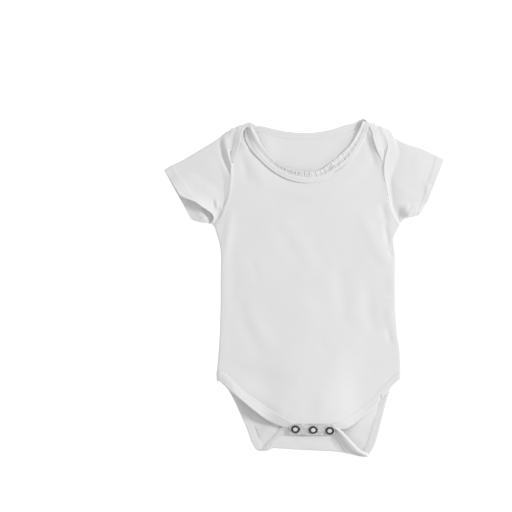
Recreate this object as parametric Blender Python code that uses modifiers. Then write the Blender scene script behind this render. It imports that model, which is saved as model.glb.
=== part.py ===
"""Short-sleeved envelope-neck baby bodysuit, laid flat with its front up.

Lengths in this file are millimetres. The wearer's neck is towards +Y and +Z is up from the surface.
The garment is cut from jersey: a front and a back panel, two sleeves, and bindings round the
neckline and the legs. The back panel wraps over the shoulders as laps on the front, and over the
bottom edge as an extension that is snapped under the front's crotch tab.
"""
import math

import bmesh
import bpy
from mathutils import Vector, geometry

MM = 0.001                # one millimetre in Blender's metres

# Cloth and clearances
WALL = 1.2                # one layer of jersey
HEM = 2.0                 # turned hem and snap tab, two layers
BINDING = 1.8             # folded binding
SEAM_GAP = 0.45           # clearance between pieces at a seam

# Heights of the middle of each layer above the surface
BACK_Z = WALL / 2
BINDING_Z = BINDING / 2
FRONT_EDGE_Z = BACK_Z + WALL + 0.3
EXTENSION_Z = 3.2         # crotch extension, just above its fold
LAP_Z = 5.2               # shoulder lap at its fold
LAP_END_Z = 4.0           # shoulder lap where it ends on the armhole
FRONT_PUFF = 2.2          # how far the front stands up inside its side seams
PUFF_REACH = 9.0          # distance over which it does so

# Crotch tab: the front rises to a ridge and slopes down from there
RIDGE_Y = -157.5
RIDGE_Z = 13.0
RISE_START_Y = -78.0
TAB_SLOPE = math.tan(math.radians(27))
TAB_LEFT_X, TAB_RIGHT_X = -18.8, 36.3
TAB_OUTLINE = (           # left notch, lower edge, right notch: columns x, y
    (-12.2, -157.1), (-18.8, -162), (-18.8, -166.5), (-18.4, -170.9), (-10, -171.5), (0, -172),
    (10, -172.1), (20, -171.8), (28, -171.5), (35.9, -170.9), (36.3, -166.5), (36.3, -162.2),
    (29.8, -157.3))
TAB_ROWS_Y = (-153, -155.5, -157.5, -159.5, -162, -167)
TAB_INSET = 1.4           # the extension is narrower than the tab over it, on each side
EXTENSION_END_Y = -162.0
EXTENSION_ROWS_Y = (-185, -179, -173, -169, -165, -161)
TAB_LAYER_DROP = 2.2      # from the tab's middle down to the middle of the extension under it
RIDGE_ROUNDING = 0.6

# Snaps
SNAP_OUTER_R, SNAP_INNER_R, SNAP_HEIGHT = 4.75, 3.2, 0.9
SNAP_CENTRES = ((-10.2, -164.4), (10.4, -165.2), (29.8, -166.2))
SNAP_SIDES = 24

# Straight runs of shared edges
ARMHOLE_PARTS = 30
SIDE_PARTS = 14
LEG_STEPS = 3             # between two rows of a leg table
NECK_STEPS = 5            # between two rows of the back neck's table
BEND_PARTS = 6            # round a shoulder fold
TURN_PARTS = 5            # round the bottom fold and the hips

PANEL_SPACING_BACK, PANEL_SPACING_FRONT = 15.0, 12.5
LAP_SEAM_TOP_Y, LAP_SEAM_LOW_Y, LAP_BAND_LOW_Y = 181.0, 158.0, 160.0
LAP_FROM_Y = 120.0        # above this the unfolded back turns over at a shoulder
SHOULDER_TUCK = 0.994     # the panel's fold stops just short of the sleeve's

# Outlines: columns x, y
LEFT_SIDE = ((-104.1, 71.1), (-101.5, 61.7), (-98.6, 52), (-96.8, 37), (-97.1, 9), (-97.3, -25),
             (-98.9, -67), (-101.4, -96.2))
RIGHT_SIDE = ((111.4, 72.2), (107.6, 65), (104.3, 57), (105.3, 47.7), (106.5, 34), (106.5, -15),
              (108.8, -54), (111.6, -70), (113, -95.2))
LEFT_ARMHOLE = ((-83.3, 186.2), (-86.6, 175.2), (-87.8, 163.5), (-87.2, 155.3), (-84.6, 142),
                (-84.2, 131.9), (-85.4, 120.2), (-87.2, 107), (-91.3, 96), (-95.9, 85.1),
                (-100.6, 76.9), (-104.1, 71.1))
RIGHT_ARMHOLE = ((89, 188.4), (93.6, 178.7), (96.2, 170.5), (96.6, 163.5), (95, 158), (93.6, 151.8),
                 (92.4, 142), (92.6, 131.9), (94.8, 119), (97.7, 105), (100.8, 93.3), (105.3, 82.8),
                 (111.4, 72.2))

# Outer edge of the folds, y at each x
LEFT_SHOULDER = ((-92, 181.8), (-83, 186.3), (-77, 189.3), (-70, 192.3), (-63.5, 194.5), (-50, 194))
RIGHT_SHOULDER = ((58, 197), (66, 197.4), (70.5, 197.8), (75, 196), (80, 193), (89, 188.5),
                  (98, 184))
BOTTOM_FOLD = ((-70, -191.4), (-44, -190.9), (-34, -189.3), (-3.5, -189.6), (30, -191),
               (46, -192.8), (55, -194.8), (61, -196.5), (66, -197.2), (90, -197.6))

# Neck binding of the back: columns layer, edge x, edge y, seam x, seam y
BACK_NECK = (
    ("lap", -82.3, 146.5, -85.3, 147.2),
    ("lap", -79.8, 152.5, -86.2, 152.5),
    ("lap", -77.2, 161.2, -85.0, 161.6),
    ("lap", -74.3, 170.5, -82.8, 171.6),
    ("lap", -72.0, 180.0, -80.4, 181.0),
    ("back", -57.5, 190.5, -66.5, 182.5),
    ("back", -49.0, 189.2, -53.0, 180.0),
    ("back", -37.0, 186.3, -39.0, 176.6),
    ("back", -20.0, 182.8, -21.0, 173.4),
    ("back", 0.0, 181.4, 0.0, 172.0),
    ("back", 18.0, 182.4, 19.0, 173.0),
    ("back", 34.0, 185.8, 37.0, 176.8),
    ("back", 48.0, 190.4, 53.5, 182.4),
    ("back", 61.0, 194.0, 69.5, 186.5),
    ("lap", 77.4, 184.6, 86.0, 185.4),
    ("lap", 79.8, 175.2, 88.8, 176.0),
    ("lap", 83.4, 163.5, 92.4, 164.4),
    ("lap", 87.0, 155.0, 94.0, 155.4),
    ("lap", 90.0, 147.6, 92.9, 148.0),
)

# Neck binding of the front: columns edge x, edge y, seam x, seam y, gathered
FRONT_NECK = (
    (-59.8, 185.4, -66.4, 183.0, 0),
    (-54.8, 179.0, -67.6, 174.4, 0),
    (-49.4, 166.4, -62.4, 161.8, 0),
    (-40.2, 154.6, -51.4, 149.2, 0),
    (-28.4, 144.2, -37.0, 136.4, 1),
    (-15.4, 138.2, -20.0, 127.0, 1),
    (-3.0, 135.8, -3.6, 122.8, 1),
    (9.0, 135.6, 10.0, 123.0, 1),
    (19.4, 138.2, 24.4, 126.6, 1),
    (29.0, 145.0, 37.2, 133.0, 1),
    (38.6, 152.6, 48.6, 140.6, 1),
    (48.0, 160.8, 58.6, 152.8, 1),
    (55.2, 169.0, 66.2, 165.4, 0),
    (60.6, 178.0, 71.4, 176.0, 0),
    (64.4, 186.0, 72.6, 184.0, 0),
)
FRONT_NECK_MIN_Z = 3.2    # clears the back binding where the two cross
NECK_EDGE_DROP = 0.5      # the edge lies lower than the seam
GATHER_PITCH = 4.0        # one wave of the gathered edge
GATHER_HEIGHT = 0.45

# Leg bindings over the front: columns edge x, edge y, seam x, seam y, edge drop
LEFT_LEG_FRONT = (
    (-19.9, -160.9, -12.9, -156.0, 0.2),
    (-27.0, -160.9, -19.6, -152.9, 0.5),
    (-36.5, -157.6, -28.4, -148.3, 1.0),
    (-45.6, -152.6, -41.4, -140.8, 1.0),
    (-54.4, -146.0, -55.0, -130.6, 0.8),
    (-66.0, -136.6, -70.6, -120.4, 0.6),
    (-79.2, -125.6, -84.0, -107.0, 0.4),
    (-90.4, -116.4, -92.6, -99.6, 0.2),
    (-98.6, -109.0, -99.2, -97.2, 0.0),
)
RIGHT_LEG_FRONT = (
    (37.5, -161.2, 30.5, -156.2, 0.2),
    (44.4, -163.2, 37.2, -155.2, 0.5),
    (52.0, -161.4, 45.4, -151.6, 1.0),
    (63.2, -154.6, 56.0, -145.0, 1.0),
    (74.4, -146.4, 68.0, -136.4, 0.8),
    (85.4, -135.8, 80.4, -126.0, 0.6),
    (94.6, -124.4, 92.0, -114.0, 0.4),
    (103.4, -114.6, 102.4, -103.4, 0.2),
    (110.4, -108.0, 110.8, -96.4, 0.0),
)
# and over the back, from the hip to the bottom fold: columns edge x, edge y, seam x, seam y
LEFT_LEG_BACK = (
    (-98.6, -109.0, -99.2, -97.2),
    (-93.0, -114.6, -89.6, -99.4),
    (-87.2, -121.8, -79.4, -109.6),
    (-80.0, -135.6, -70.2, -127.6),
    (-74.2, -148.6, -63.8, -143.4),
    (-67.6, -163.4, -57.0, -159.2),
    (-62.2, -178.6, -51.6, -175.0),
    (-56.6, -189.1, -45.2, -189.1),
)
RIGHT_LEG_BACK = (
    (110.4, -108.0, 110.8, -96.4),
    (105.6, -112.2, 101.6, -98.4),
    (100.6, -119.8, 92.6, -107.0),
    (97.4, -130.4, 87.4, -122.6),
    (93.4, -145.8, 82.6, -141.8),
    (90.0, -159.4, 79.2, -156.8),
    (86.6, -172.4, 75.8, -169.8),
    (82.8, -184.4, 72.0, -181.6),
    (76.4, -195.3, 63.8, -194.8),
)
# and up the crotch extension to the tab: columns edge x, edge y, edge z, seam x, seam y, seam z
LEFT_LEG_EXTENSION = (
    (-54.6, -189.1, 3.6, -44.0, -189.1, 3.6),
    (-42.4, -179.6, 5.2, -35.4, -181.4, 3.7),
    (-34.8, -172.2, 7.2, -28.0, -175.2, 3.9),
    (-27.6, -166.8, 8.4, -22.8, -171.4, 4.3),
    (-19.4, -163.6, 8.4, -19.2, -170.4, 4.8),
)
RIGHT_LEG_EXTENSION = (
    (74.2, -195.3, 3.6, 62.4, -194.4, 3.6),
    (61.0, -188.2, 4.8, 49.6, -187.0, 3.7),
    (53.4, -179.8, 6.6, 42.0, -179.0, 3.9),
    (47.6, -172.4, 7.9, 38.8, -174.0, 4.2),
    (42.8, -167.4, 8.5, 37.2, -171.4, 4.5),
    (37.0, -164.4, 8.4, 36.8, -170.4, 4.8),
)

# Sleeves: columns x, y
LEFT_SLEEVE_TOP = ((-83.7, 186.6), (-93.6, 179.9), (-101.8, 173.2), (-115.8, 164.7), (-127.5, 157.7),
                   (-141.6, 149.5), (-155, 143.2), (-163.6, 137.6))
LEFT_CUFF_FRONT = ((-163.6, 137.6), (-148.4, 113), (-142, 106), (-132.4, 100.4), (-122.5, 95.2),
                   (-116.8, 88.8), (-115.6, 82.6), (-120.4, 75.4))
LEFT_CUFF_BACK = ((-163.6, 137.6), (-150.9, 114.4), (-135, 86), (-129.4, 80.6), (-124, 78),
                  (-120.4, 75.4))
LEFT_SLEEVE_UNDER = ((-104.6, 71.4), (-111, 72.6), (-120.4, 75.4))
RIGHT_SLEEVE_TOP = ((89.4, 188.7), (95.9, 186.6), (101, 183), (105, 176.6), (114.7, 170.5),
                    (124, 167), (135.7, 163.5), (147.4, 158.2), (163.8, 150.6))
RIGHT_CUFF = ((163.8, 150.6), (159.1, 137.8), (154.4, 126.1), (149.8, 114.4), (145.1, 102.7),
              (140.4, 94.8), (133.4, 84))
RIGHT_SLEEVE_UNDER = ((111.8, 72.4), (114.7, 76.9), (118.6, 80.4), (126.4, 82.6), (133.4, 84))
HEM_SHARE = 0.22          # part of the sleeve's length that is hem
HEM_STOP = 0.8            # and how far it goes round before it thins towards the underarm
CUFF_LIFT_LEFT = 6.5      # the left sleeve's front is pulled up off its back
CUFF_LIFT_RIGHT = 1.2

# Folds of the front: columns x and y of both ends, height, half width
FRONT_FOLDS = (
    (-84, 78, -93, 14, 1.4, 8),
    (82, 74, 104, 22, 1.5, 8),
    (-76, 130, -50, 72, -0.8, 9),
    (-84, -80, -22, -98, -1.2, 10),
    (-78, -112, -20, -122, 1.1, 9),
    (64, 118, 80, 64, 0.7, 10),
)

EDGE_CLEARANCE = 0.5      # lattice points keep this share of their spacing from other points

CLOTH_COLOUR = (0.78, 0.78, 0.79, 1)
METAL_COLOUR = (0.30, 0.31, 0.33, 1)


# ---------------------------------------------------------------- curves

def spline(rows, steps):
    """Points on a smooth curve through rows of numbers, with this many steps between rows."""
    ends = (tuple(2 * a - b for a, b in zip(rows[0], rows[1])),
            tuple(2 * a - b for a, b in zip(rows[-1], rows[-2])))
    knots = [ends[0], *rows, ends[1]]
    points = []
    for i in range(len(rows) - 1):
        for k in range(steps):
            points.append(spline_point(knots[i:i + 4], k / steps))
    points.append(tuple(rows[-1]))
    return points


def spline_point(knots, t):
    """Catmull-Rom between the second and third of four knots."""
    weights = (-t + 2 * t * t - t ** 3, 2 - 5 * t * t + 3 * t ** 3,
               t + 4 * t * t - 3 * t ** 3, t ** 3 - t * t)
    return tuple(sum(w * knot[c] for w, knot in zip(weights, knots)) / 2
                 for c in range(len(knots[0])))


def spaced(points, count):
    """The same open polyline as count + 1 points at equal distances, in as many dimensions."""
    lengths = [0.0]
    for a, b in zip(points, points[1:]):
        lengths.append(lengths[-1] + math.dist(a, b))
    result = []
    i = 0
    for k in range(count + 1):
        target = lengths[-1] * k / count
        while i < len(points) - 2 and lengths[i + 1] < target:
            i += 1
        span = lengths[i + 1] - lengths[i]
        t = min(max((target - lengths[i]) / span, 0), 1) if span else 0
        result.append(tuple(a + (b - a) * t for a, b in zip(points[i], points[i + 1])))
    return result


def curve_at(points, t):
    """Point at share t of an evenly spaced polyline."""
    place = min(max(t, 0), 1) * (len(points) - 1)
    i = min(int(place), len(points) - 2)
    return tuple(a + (b - a) * (place - i) for a, b in zip(points[i], points[i + 1]))


def along(table, value, column=0, result=1):
    """Straight-line look-up in a table sorted either way by one column."""
    rows = sorted(table, key=lambda row: row[column])
    if value <= rows[0][column]:
        return rows[0][result]
    for low, high in zip(rows, rows[1:]):
        if value <= high[column]:
            t = (value - low[column]) / (high[column] - low[column])
            return low[result] + (high[result] - low[result]) * t
    return rows[-1][result]


def ease(t):
    """Smooth step from 0 to 1."""
    t = min(max(t, 0), 1)
    return t * t * (3 - 2 * t)


def soft_min(a, b, k):
    """The lower of two heights with its corner rounded."""
    return -k * math.log(math.exp(-a / k) + math.exp(-b / k))


# ---------------------------------------------------------------- heights of the layers

def side_distance(x, y):
    """Distance in from the nearer side of the body."""
    left = along(LEFT_ARMHOLE + LEFT_SIDE[1:], y, 1, 0)
    right = along(RIGHT_ARMHOLE + RIGHT_SIDE[1:], y, 1, 0)
    return max(min(x - left, right - x), 0)


def fold_height(x, y):
    """Height of the hand-placed soft folds at a point."""
    total = 0
    for ax, ay, bx, by, height, half_width in FRONT_FOLDS:
        length = math.hypot(bx - ax, by - ay)
        t = ((x - ax) * (bx - ax) + (y - ay) * (by - ay)) / length ** 2
        inside = min(max(t, 0), 1)
        away = math.hypot(x - ax - inside * (bx - ax), y - ay - inside * (by - ay))
        total += height * math.exp(-(away / half_width) ** 2)
    return total


def tab_z(y):
    """Middle of the tab, which slopes down from the ridge."""
    return RIDGE_Z - (RIDGE_Y - y) * TAB_SLOPE


def front_z(x, y):
    """Middle of the front panel."""
    inner = 1 - math.exp(-side_distance(x, y) / PUFF_REACH)
    chest = 1 - ease((y - 108) / 50)
    rise = ease((RISE_START_Y - y) / (RISE_START_Y - RIDGE_Y))
    belly = FRONT_EDGE_Z + (0.5 + (FRONT_PUFF - 0.5) * chest) * inner
    belly += (RIDGE_Z - FRONT_EDGE_Z - FRONT_PUFF + 0.4) * rise * (0.3 + 0.7 * inner)
    belly += fold_height(x, y) * inner
    return soft_min(belly, tab_z(y), RIDGE_ROUNDING)


def extension_z(y):
    """Middle of the crotch extension: flat above its fold, then up under the tab."""
    return -soft_min(-EXTENSION_Z, TAB_LAYER_DROP - tab_z(y), 0.3)


def lap_z(y):
    """Middle of a shoulder lap."""
    return LAP_END_Z + (LAP_Z - LAP_END_Z) * ease((y - 142) / 40)


# ---------------------------------------------------------------- folds of the back panel

class Fold:
    """A fold line of the back panel. Past it the cloth turns over and comes back above itself.

    The unfolded panel is flat: x, and v, which is y on the back and runs on past the fold."""

    def __init__(self, line, side, low_z, high_z, wall):
        self.line, self.side = line, side
        self.low_z = low_z
        self.radius = (high_z - low_z) / 2
        self.inset = self.radius + wall / 2
        self.arc = math.pi * self.radius

    def start(self, x):
        return along(self.line, x) - self.side * self.inset

    def unfold(self, x, y):
        """v of a point of the turned-over layer."""
        start = self.start(x)
        return start + self.side * (self.arc + self.side * (start - y))

    def place(self, x, v):
        """y, z and whether it is past the fold, of an unfolded point."""
        past = (v - self.start(x)) * self.side
        if past <= 0:
            return v, self.low_z, False
        if past < self.arc:
            angle = past / self.radius
            return (self.start(x) + self.side * self.radius * math.sin(angle),
                    self.low_z + self.radius * (1 - math.cos(angle)), False)
        return self.start(x) - self.side * (past - self.arc), self.low_z + 2 * self.radius, True

    def rows(self, x_from, x_to, step, parts):
        """Unfolded points over the bend."""
        count = max(int((x_to - x_from) / step), 2)
        return [(x, self.start(x) + self.side * self.arc * part / parts)
                for x in (x_from + (x_to - x_from) * k / count for k in range(1, count))
                for part in range(parts + 1)]


def shoulder(x, low_z, high_z, wall):
    return Fold(LEFT_SHOULDER if x < 0 else RIGHT_SHOULDER, 1, low_z, high_z, wall)


def place_back(x, v):
    """Where a point of the unfolded back panel lies."""
    if v > LAP_FROM_Y:
        y, z, turned = shoulder(x, BACK_Z, LAP_Z, WALL).place(x, v)
        return Vector((x, y, lap_z(y) if turned else z))
    y, z, turned = Fold(BOTTOM_FOLD, -1, BACK_Z, EXTENSION_Z, WALL).place(x, v)
    return Vector((x, y, extension_z(y) if turned else z))


# ---------------------------------------------------------------- building

def material(name, colour, roughness, metallic):
    result = bpy.data.materials.new(name)
    result.use_nodes = True
    shader = result.node_tree.nodes["Principled BSDF"]
    shader.inputs["Base Color"].default_value = colour
    shader.inputs["Roughness"].default_value = roughness
    shader.inputs["Metallic"].default_value = metallic
    return result


def add_object(name, mesh, finish, collection):
    mesh.materials.append(finish)
    result = bpy.data.objects.new(name, mesh)
    collection.objects.link(result)
    return result


def surface(name, points, faces, upward):
    """A mesh of an open surface, in metres, its faces turned to one side."""
    mesh = bpy.data.meshes.new(name)
    mesh.from_pydata([Vector(p) * MM for p in points], [], faces)
    shape = bmesh.new()
    shape.from_mesh(mesh)
    if upward:
        bmesh.ops.reverse_faces(shape, faces=shape.faces[:])
    shape.to_mesh(mesh)
    shape.free()
    mesh.shade_smooth()
    return mesh


def thicken(cloth, wall, weights=None):
    """Give an open surface its wall, half to each side, thinner where a weight is below 1."""
    solid = cloth.modifiers.new("wall", "SOLIDIFY")
    solid.thickness = wall * MM
    solid.offset = 0
    if weights:
        group = cloth.vertex_groups.new(name="wall")
        for index, weight in enumerate(weights):
            group.add([index], weight, "REPLACE")
        solid.vertex_group = group.name


def inside(point, outline):
    x, y = point
    result = False
    for (ax, ay), (bx, by) in zip(outline, outline[1:] + outline[:1]):
        if (ay > y) != (by > y) and x < ax + (y - ay) * (bx - ax) / (by - ay):
            result = not result
    return result


def edge_distance(point, outline):
    x, y = point
    best = math.inf
    for (ax, ay), (bx, by) in zip(outline, outline[1:] + outline[:1]):
        length = (bx - ax) ** 2 + (by - ay) ** 2
        t = min(max(((x - ax) * (bx - ax) + (y - ay) * (by - ay)) / length, 0), 1) if length else 0
        best = min(best, math.hypot(x - ax - t * (bx - ax), y - ay - t * (by - ay)))
    return best


def rim_rows(curve, side, distances, step):
    """Rows of points inside a panel, along one of its edges."""
    length = sum(math.dist(a, b) for a, b in zip(curve, curve[1:]))
    even = spaced(curve, max(int(length / step), 2))
    return [point for away in distances for point in outward(even, side * away)[1:-1]]


def fill(outline, spacing, extra=(), bare=lambda x, y: False):
    """Triangles inside a flat outline, on a lattice of points and some extra ones."""
    xs = [p[0] for p in outline]
    ys = [p[1] for p in outline]
    lattice = []
    row_height = spacing * math.sqrt(3) / 2
    for j in range(int((max(ys) - min(ys)) / row_height) + 1):
        y = min(ys) + row_height * (j + 0.5)
        for i in range(int((max(xs) - min(xs)) / spacing) + 2):
            x = min(xs) + spacing * (i + 0.5 * (j % 2))
            away = edge_distance((x, y), outline)
            if not bare(x, y) and inside((x, y), outline) and away > spacing * EDGE_CLEARANCE:
                if all(math.dist((x, y), p) > spacing * EDGE_CLEARANCE for p in extra):
                    lattice.append((x, y))
    middle = [p for p in extra if inside(p, outline) and edge_distance(p, outline) > 0.4]
    flat = [Vector(p) for p in [*outline, *middle, *lattice]]
    edges = [(k, (k + 1) % len(outline)) for k in range(len(outline))]
    points, _, faces, _, _, _ = geometry.delaunay_2d_cdt(flat, edges, [], 1, 1e-5)
    return [tuple(p) for p in points], faces


def outward(curve, gap):
    """The curve moved to its left by the gap."""
    moved = []
    for k, point in enumerate(curve):
        before, after = curve[max(k - 1, 0)], curve[min(k + 1, len(curve) - 1)]
        dx, dy = after[0] - before[0], after[1] - before[1]
        length = math.hypot(dx, dy)
        moved.append((point[0] - dy / length * gap, point[1] + dx / length * gap, *point[2:]))
    return moved


def ribbon(name, sections, finish, collection):
    """A binding lofted over its cross lines, each from its edge to its seam."""
    width = len(sections[0])
    points, faces = [], []
    for k, section in enumerate(sections):
        line = [Vector(p) for p in section]
        across = (line[-2] - line[-1]).normalized()
        before, after = sections[max(k - 1, 0)][-1], sections[min(k + 1, len(sections) - 1)][-1]
        slant = max(across.cross((Vector(after) - Vector(before)).normalized()).length, 0.45)
        line[-1] += across * (SEAM_GAP + BINDING / 2 * abs(across.z)) / slant
        points += line
    for k in range(len(sections) - 1):
        for i in range(width - 1):
            a, b = width * k + i, width * (k + 1) + i
            faces.append((a, a + 1, b + 1, b))
    cloth = add_object(name, surface(name, points, faces, False), finish, collection)
    thicken(cloth, BINDING)


def cross_line(edge, seam, parts=2):
    """Straight cross line of a binding."""
    return [Vector(edge).lerp(Vector(seam), k / parts) for k in range(parts + 1)]


# ---------------------------------------------------------------- panels

def neck_back_unfolded(rows):
    """The back neck binding's rows on the unfolded panel: edge x, v and seam x, v."""
    result = []
    for layer, edge_x, edge_y, seam_x, seam_y in rows:
        if layer == "lap":
            fold = shoulder(edge_x, BACK_Z, LAP_Z, WALL)
            edge_y, seam_y = fold.unfold(edge_x, edge_y), fold.unfold(seam_x, seam_y)
        result.append((edge_x, edge_y, seam_x, seam_y))
    return result


def armhole_unfolded(armhole):
    """The armhole of the back panel, from the end of its lap over the shoulder to the side."""
    fold = shoulder(armhole[0][0], BACK_Z, LAP_Z, WALL)
    line = armhole_line(armhole)
    lap = [p for p in line if LAP_SEAM_LOW_Y < p[1] < fold.start(p[0])]
    turned = [(x, fold.unfold(x, y)) for x, y in reversed(lap)]
    near_fold = [p for p in line if p[1] > LAP_SEAM_LOW_Y]
    bend = []
    for k in range(BEND_PARTS + 1):
        y = fold.start(lap[0][0]) + fold.radius * math.sin(math.pi * k / BEND_PARTS)
        x = along(near_fold, y, 1, 0) * SHOULDER_TUCK
        bend.append((x, fold.start(x) + fold.arc * k / BEND_PARTS))
    below = [p for p in line if p[1] < fold.start(p[0]) - 0.5]
    return turned + bend[::-1] + below


def armhole_line(armhole):
    """Points of an armhole seam, shared by the panels and the sleeve."""
    return spaced(spline(armhole, 6), ARMHOLE_PARTS)


def leg_seam(rows):
    """Seam of a leg binding on a panel, as x, y."""
    return [(row[2], row[3]) for row in rows]


def back_panel(finish, collection):
    fold = Fold(BOTTOM_FOLD, -1, BACK_Z, EXTENSION_Z, WALL)
    neck = [(x, v) for _, _, x, v in spline(neck_back_unfolded(BACK_NECK), NECK_STEPS)]
    neck = [p for p in neck if not past_lap_end(p)]
    left = [*armhole_unfolded(LEFT_ARMHOLE), *spaced(LEFT_SIDE, SIDE_PARTS)[1:]]
    right = [*armhole_unfolded(RIGHT_ARMHOLE), *spaced(RIGHT_SIDE, SIDE_PARTS)[1:]]
    left_leg = back_leg_edge(LEFT_LEG_BACK, LEFT_LEG_EXTENSION, fold, TAB_LEFT_X + TAB_INSET)
    right_leg = back_leg_edge(RIGHT_LEG_BACK, RIGHT_LEG_EXTENSION, fold, TAB_RIGHT_X - TAB_INSET)
    left_end = (TAB_LEFT_X + TAB_INSET, fold.unfold(TAB_LEFT_X, EXTENSION_END_Y))
    right_end = (TAB_RIGHT_X - TAB_INSET, fold.unfold(TAB_RIGHT_X, EXTENSION_END_Y))
    tab_end = spaced([left_end, right_end], 6)
    outline = [*left, *left_leg, *tab_end, *right_leg[::-1], *right[::-1], *neck[::-1]]
    outline = without_repeats(outline)
    extra = fold.rows(-60, 76, 4, TURN_PARTS)
    for low_x, high_x in ((-84, -62), (66, 90)):
        extra += shoulder(low_x, BACK_Z, LAP_Z, WALL).rows(low_x, high_x, 3, BEND_PARTS)
    extra += [(x, fold.unfold(x, y)) for y in EXTENSION_ROWS_Y for x in range(-34, 52, 6)]

    def crowded(x, y):
        return y < fold.start(x) + 4 or y > LAP_SEAM_TOP_Y - 1
    points, faces = fill(outline, PANEL_SPACING_BACK, extra, crowded)
    placed = [place_back(x, v) for x, v in points]
    cloth = add_object("back_panel", surface("back_panel", placed, faces, True), finish, collection)
    thicken(cloth, WALL)


def past_lap_end(point):
    """Whether a seam point of the lap lies past where the lap's cloth ends on the armhole."""
    x, v = point
    fold = shoulder(x, BACK_Z, LAP_Z, WALL)
    return v > fold.unfold(x, LAP_BAND_LOW_Y)


def back_leg_edge(back_rows, extension_rows, fold, tab_x):
    """The back panel's edge from the hip over the bottom fold and up to the tab, unfolded."""
    on_back = leg_seam(spline(back_rows, LEG_STEPS))
    turned = [(row[3], fold.unfold(row[3], row[4])) for row in spline(extension_rows, LEG_STEPS)]
    return [*on_back, *turned[:-1], (tab_x, turned[-1][1])]


def without_repeats(outline):
    result = []
    for point in outline:
        if not result or math.dist(point, result[-1]) > 0.25:
            result.append(point)
    return result


def front_panel(finish, collection):
    neck = [(row[2], row[3]) for row in spline([row[:4] for row in FRONT_NECK], 4)]
    left = [p for p in armhole_line(LEFT_ARMHOLE) if p[1] < LAP_SEAM_TOP_Y]
    right = [p for p in armhole_line(RIGHT_ARMHOLE) if p[1] < LAP_SEAM_TOP_Y + 2]
    left_leg = leg_seam(spline(LEFT_LEG_FRONT, LEG_STEPS))[::-1]
    right_leg = leg_seam(spline(RIGHT_LEG_FRONT, LEG_STEPS))[::-1]
    outline = [*left, *spaced(LEFT_SIDE, SIDE_PARTS)[1:], *left_leg, *TAB_OUTLINE, *right_leg[::-1],
               *spaced(RIGHT_SIDE, SIDE_PARTS)[:0:-1], *right[::-1], *neck[::-1]]
    outline = without_repeats(outline)
    extra = [(x, y) for y in TAB_ROWS_Y for x in range(-36, 56, 5)]
    left_edge = left + spaced(LEFT_SIDE, SIDE_PARTS)[1:]
    right_edge = right + spaced(RIGHT_SIDE, SIDE_PARTS)[1:]
    for edge, side in ((left_edge, 1), (right_edge, -1)):
        extra += rim_rows(edge, side, (3.5, 9), 8)
    for edge, side in ((left_leg, 1), (right_leg, -1)):
        extra += rim_rows(edge, side, (5,), 8)
    points, faces = fill(outline, PANEL_SPACING_FRONT, extra, lambda x, y: y < TAB_ROWS_Y[0] + 2)
    placed = [Vector((x, y, front_z(x, y))) for x, y in points]
    cloth = surface("front_panel", placed, faces, True)
    cloth = add_object("front_panel", cloth, finish, collection)
    thin = WALL / HEM
    thicken(cloth, HEM, [thin + (1 - thin) * ease((RIDGE_Y + 1 - y) / 2) for _, y in points])


# ---------------------------------------------------------------- bindings

def neck_band_back(finish, collection):
    """Binding along the lap edges and the back neckline, folded over the shoulders with them."""
    raised = Vector((0, 0, BINDING_Z - BACK_Z))
    parts = 4
    sections = []
    for edge_x, edge_v, seam_x, seam_v in spline(neck_back_unfolded(BACK_NECK), NECK_STEPS):
        shares = [k / parts for k in range(parts + 1)]
        sections.append([place_back(edge_x + (seam_x - edge_x) * t, edge_v + (seam_v - edge_v) * t)
                         + raised for t in shares])
    ribbon("neck_band_back", sections, finish, collection)


def neck_band_front(finish, collection):
    """Binding of the front scoop, its edge gathered into small waves."""
    smooth = spline(FRONT_NECK, 10)
    length = sum(math.dist(a[:2], b[:2]) for a, b in zip(smooth, smooth[1:]))
    per_wave = 3
    count = round(length / GATHER_PITCH) * per_wave
    sections = []
    for k, (edge_x, edge_y, seam_x, seam_y, gathered) in enumerate(spaced(smooth, count)):
        wave = GATHER_HEIGHT * min(max(gathered, 0), 1) * math.cos(2 * math.pi * k / per_wave)
        seam_z = max(front_z(seam_x, seam_y) + 0.2, FRONT_NECK_MIN_Z)
        edge_z = max(seam_z - NECK_EDGE_DROP, FRONT_NECK_MIN_Z) + wave
        sections.append(cross_line((edge_x, edge_y, edge_z), (seam_x, seam_y, seam_z)))
    ribbon("neck_band_front", sections, finish, collection)


def turn_over(low, high, outward_x, outward_y, parts):
    """Rail pairs round a fold, from a low pair to the pair above it."""
    result = []
    for k in range(1, parts):
        angle = math.pi * k / parts
        pair = []
        for a, b in zip(low, high):
            radius = (b[2] - a[2]) / 2
            pair.append((a[0] + (b[0] - a[0]) * k / parts + outward_x * radius * math.sin(angle),
                         a[1] + (b[1] - a[1]) * k / parts + outward_y * radius * math.sin(angle),
                         a[2] + radius * (1 - math.cos(angle))))
        result.append(tuple(pair))
    return result


def leg_band(name, front_rows, back_rows, extension_rows, side, finish, collection):
    """Binding of one leg: over the front, round the hip, down the back, over the bottom fold and
    up the crotch extension to the tab."""
    hip_z = BINDING_Z + BINDING + 0.5
    front = []
    for edge_x, edge_y, seam_x, seam_y, drop in spline(front_rows, LEG_STEPS):
        edge_z = max(front_z(edge_x, edge_y) - drop, hip_z)
        front.append(((edge_x, edge_y, edge_z),
                      (seam_x, seam_y, max(front_z(seam_x, seam_y) + 0.2, hip_z))))
    back = [((row[0], row[1], BINDING_Z), (row[2], row[3], BINDING_Z))
            for row in spline(back_rows, LEG_STEPS)]
    extension = [((row[0], row[1], row[2]), (row[3], row[4], row[5]))
                 for row in spline(extension_rows, LEG_STEPS)]
    hip = turn_over(back[0], front[-1], side, 0, TURN_PARTS)
    bottom = turn_over(back[-1], extension[0], 0, -1, TURN_PARTS)
    sections = [cross_line(*pair) for pair in front + hip[::-1] + back + bottom + extension]
    ribbon(name, sections, finish, collection)


# ---------------------------------------------------------------- sleeves

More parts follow.
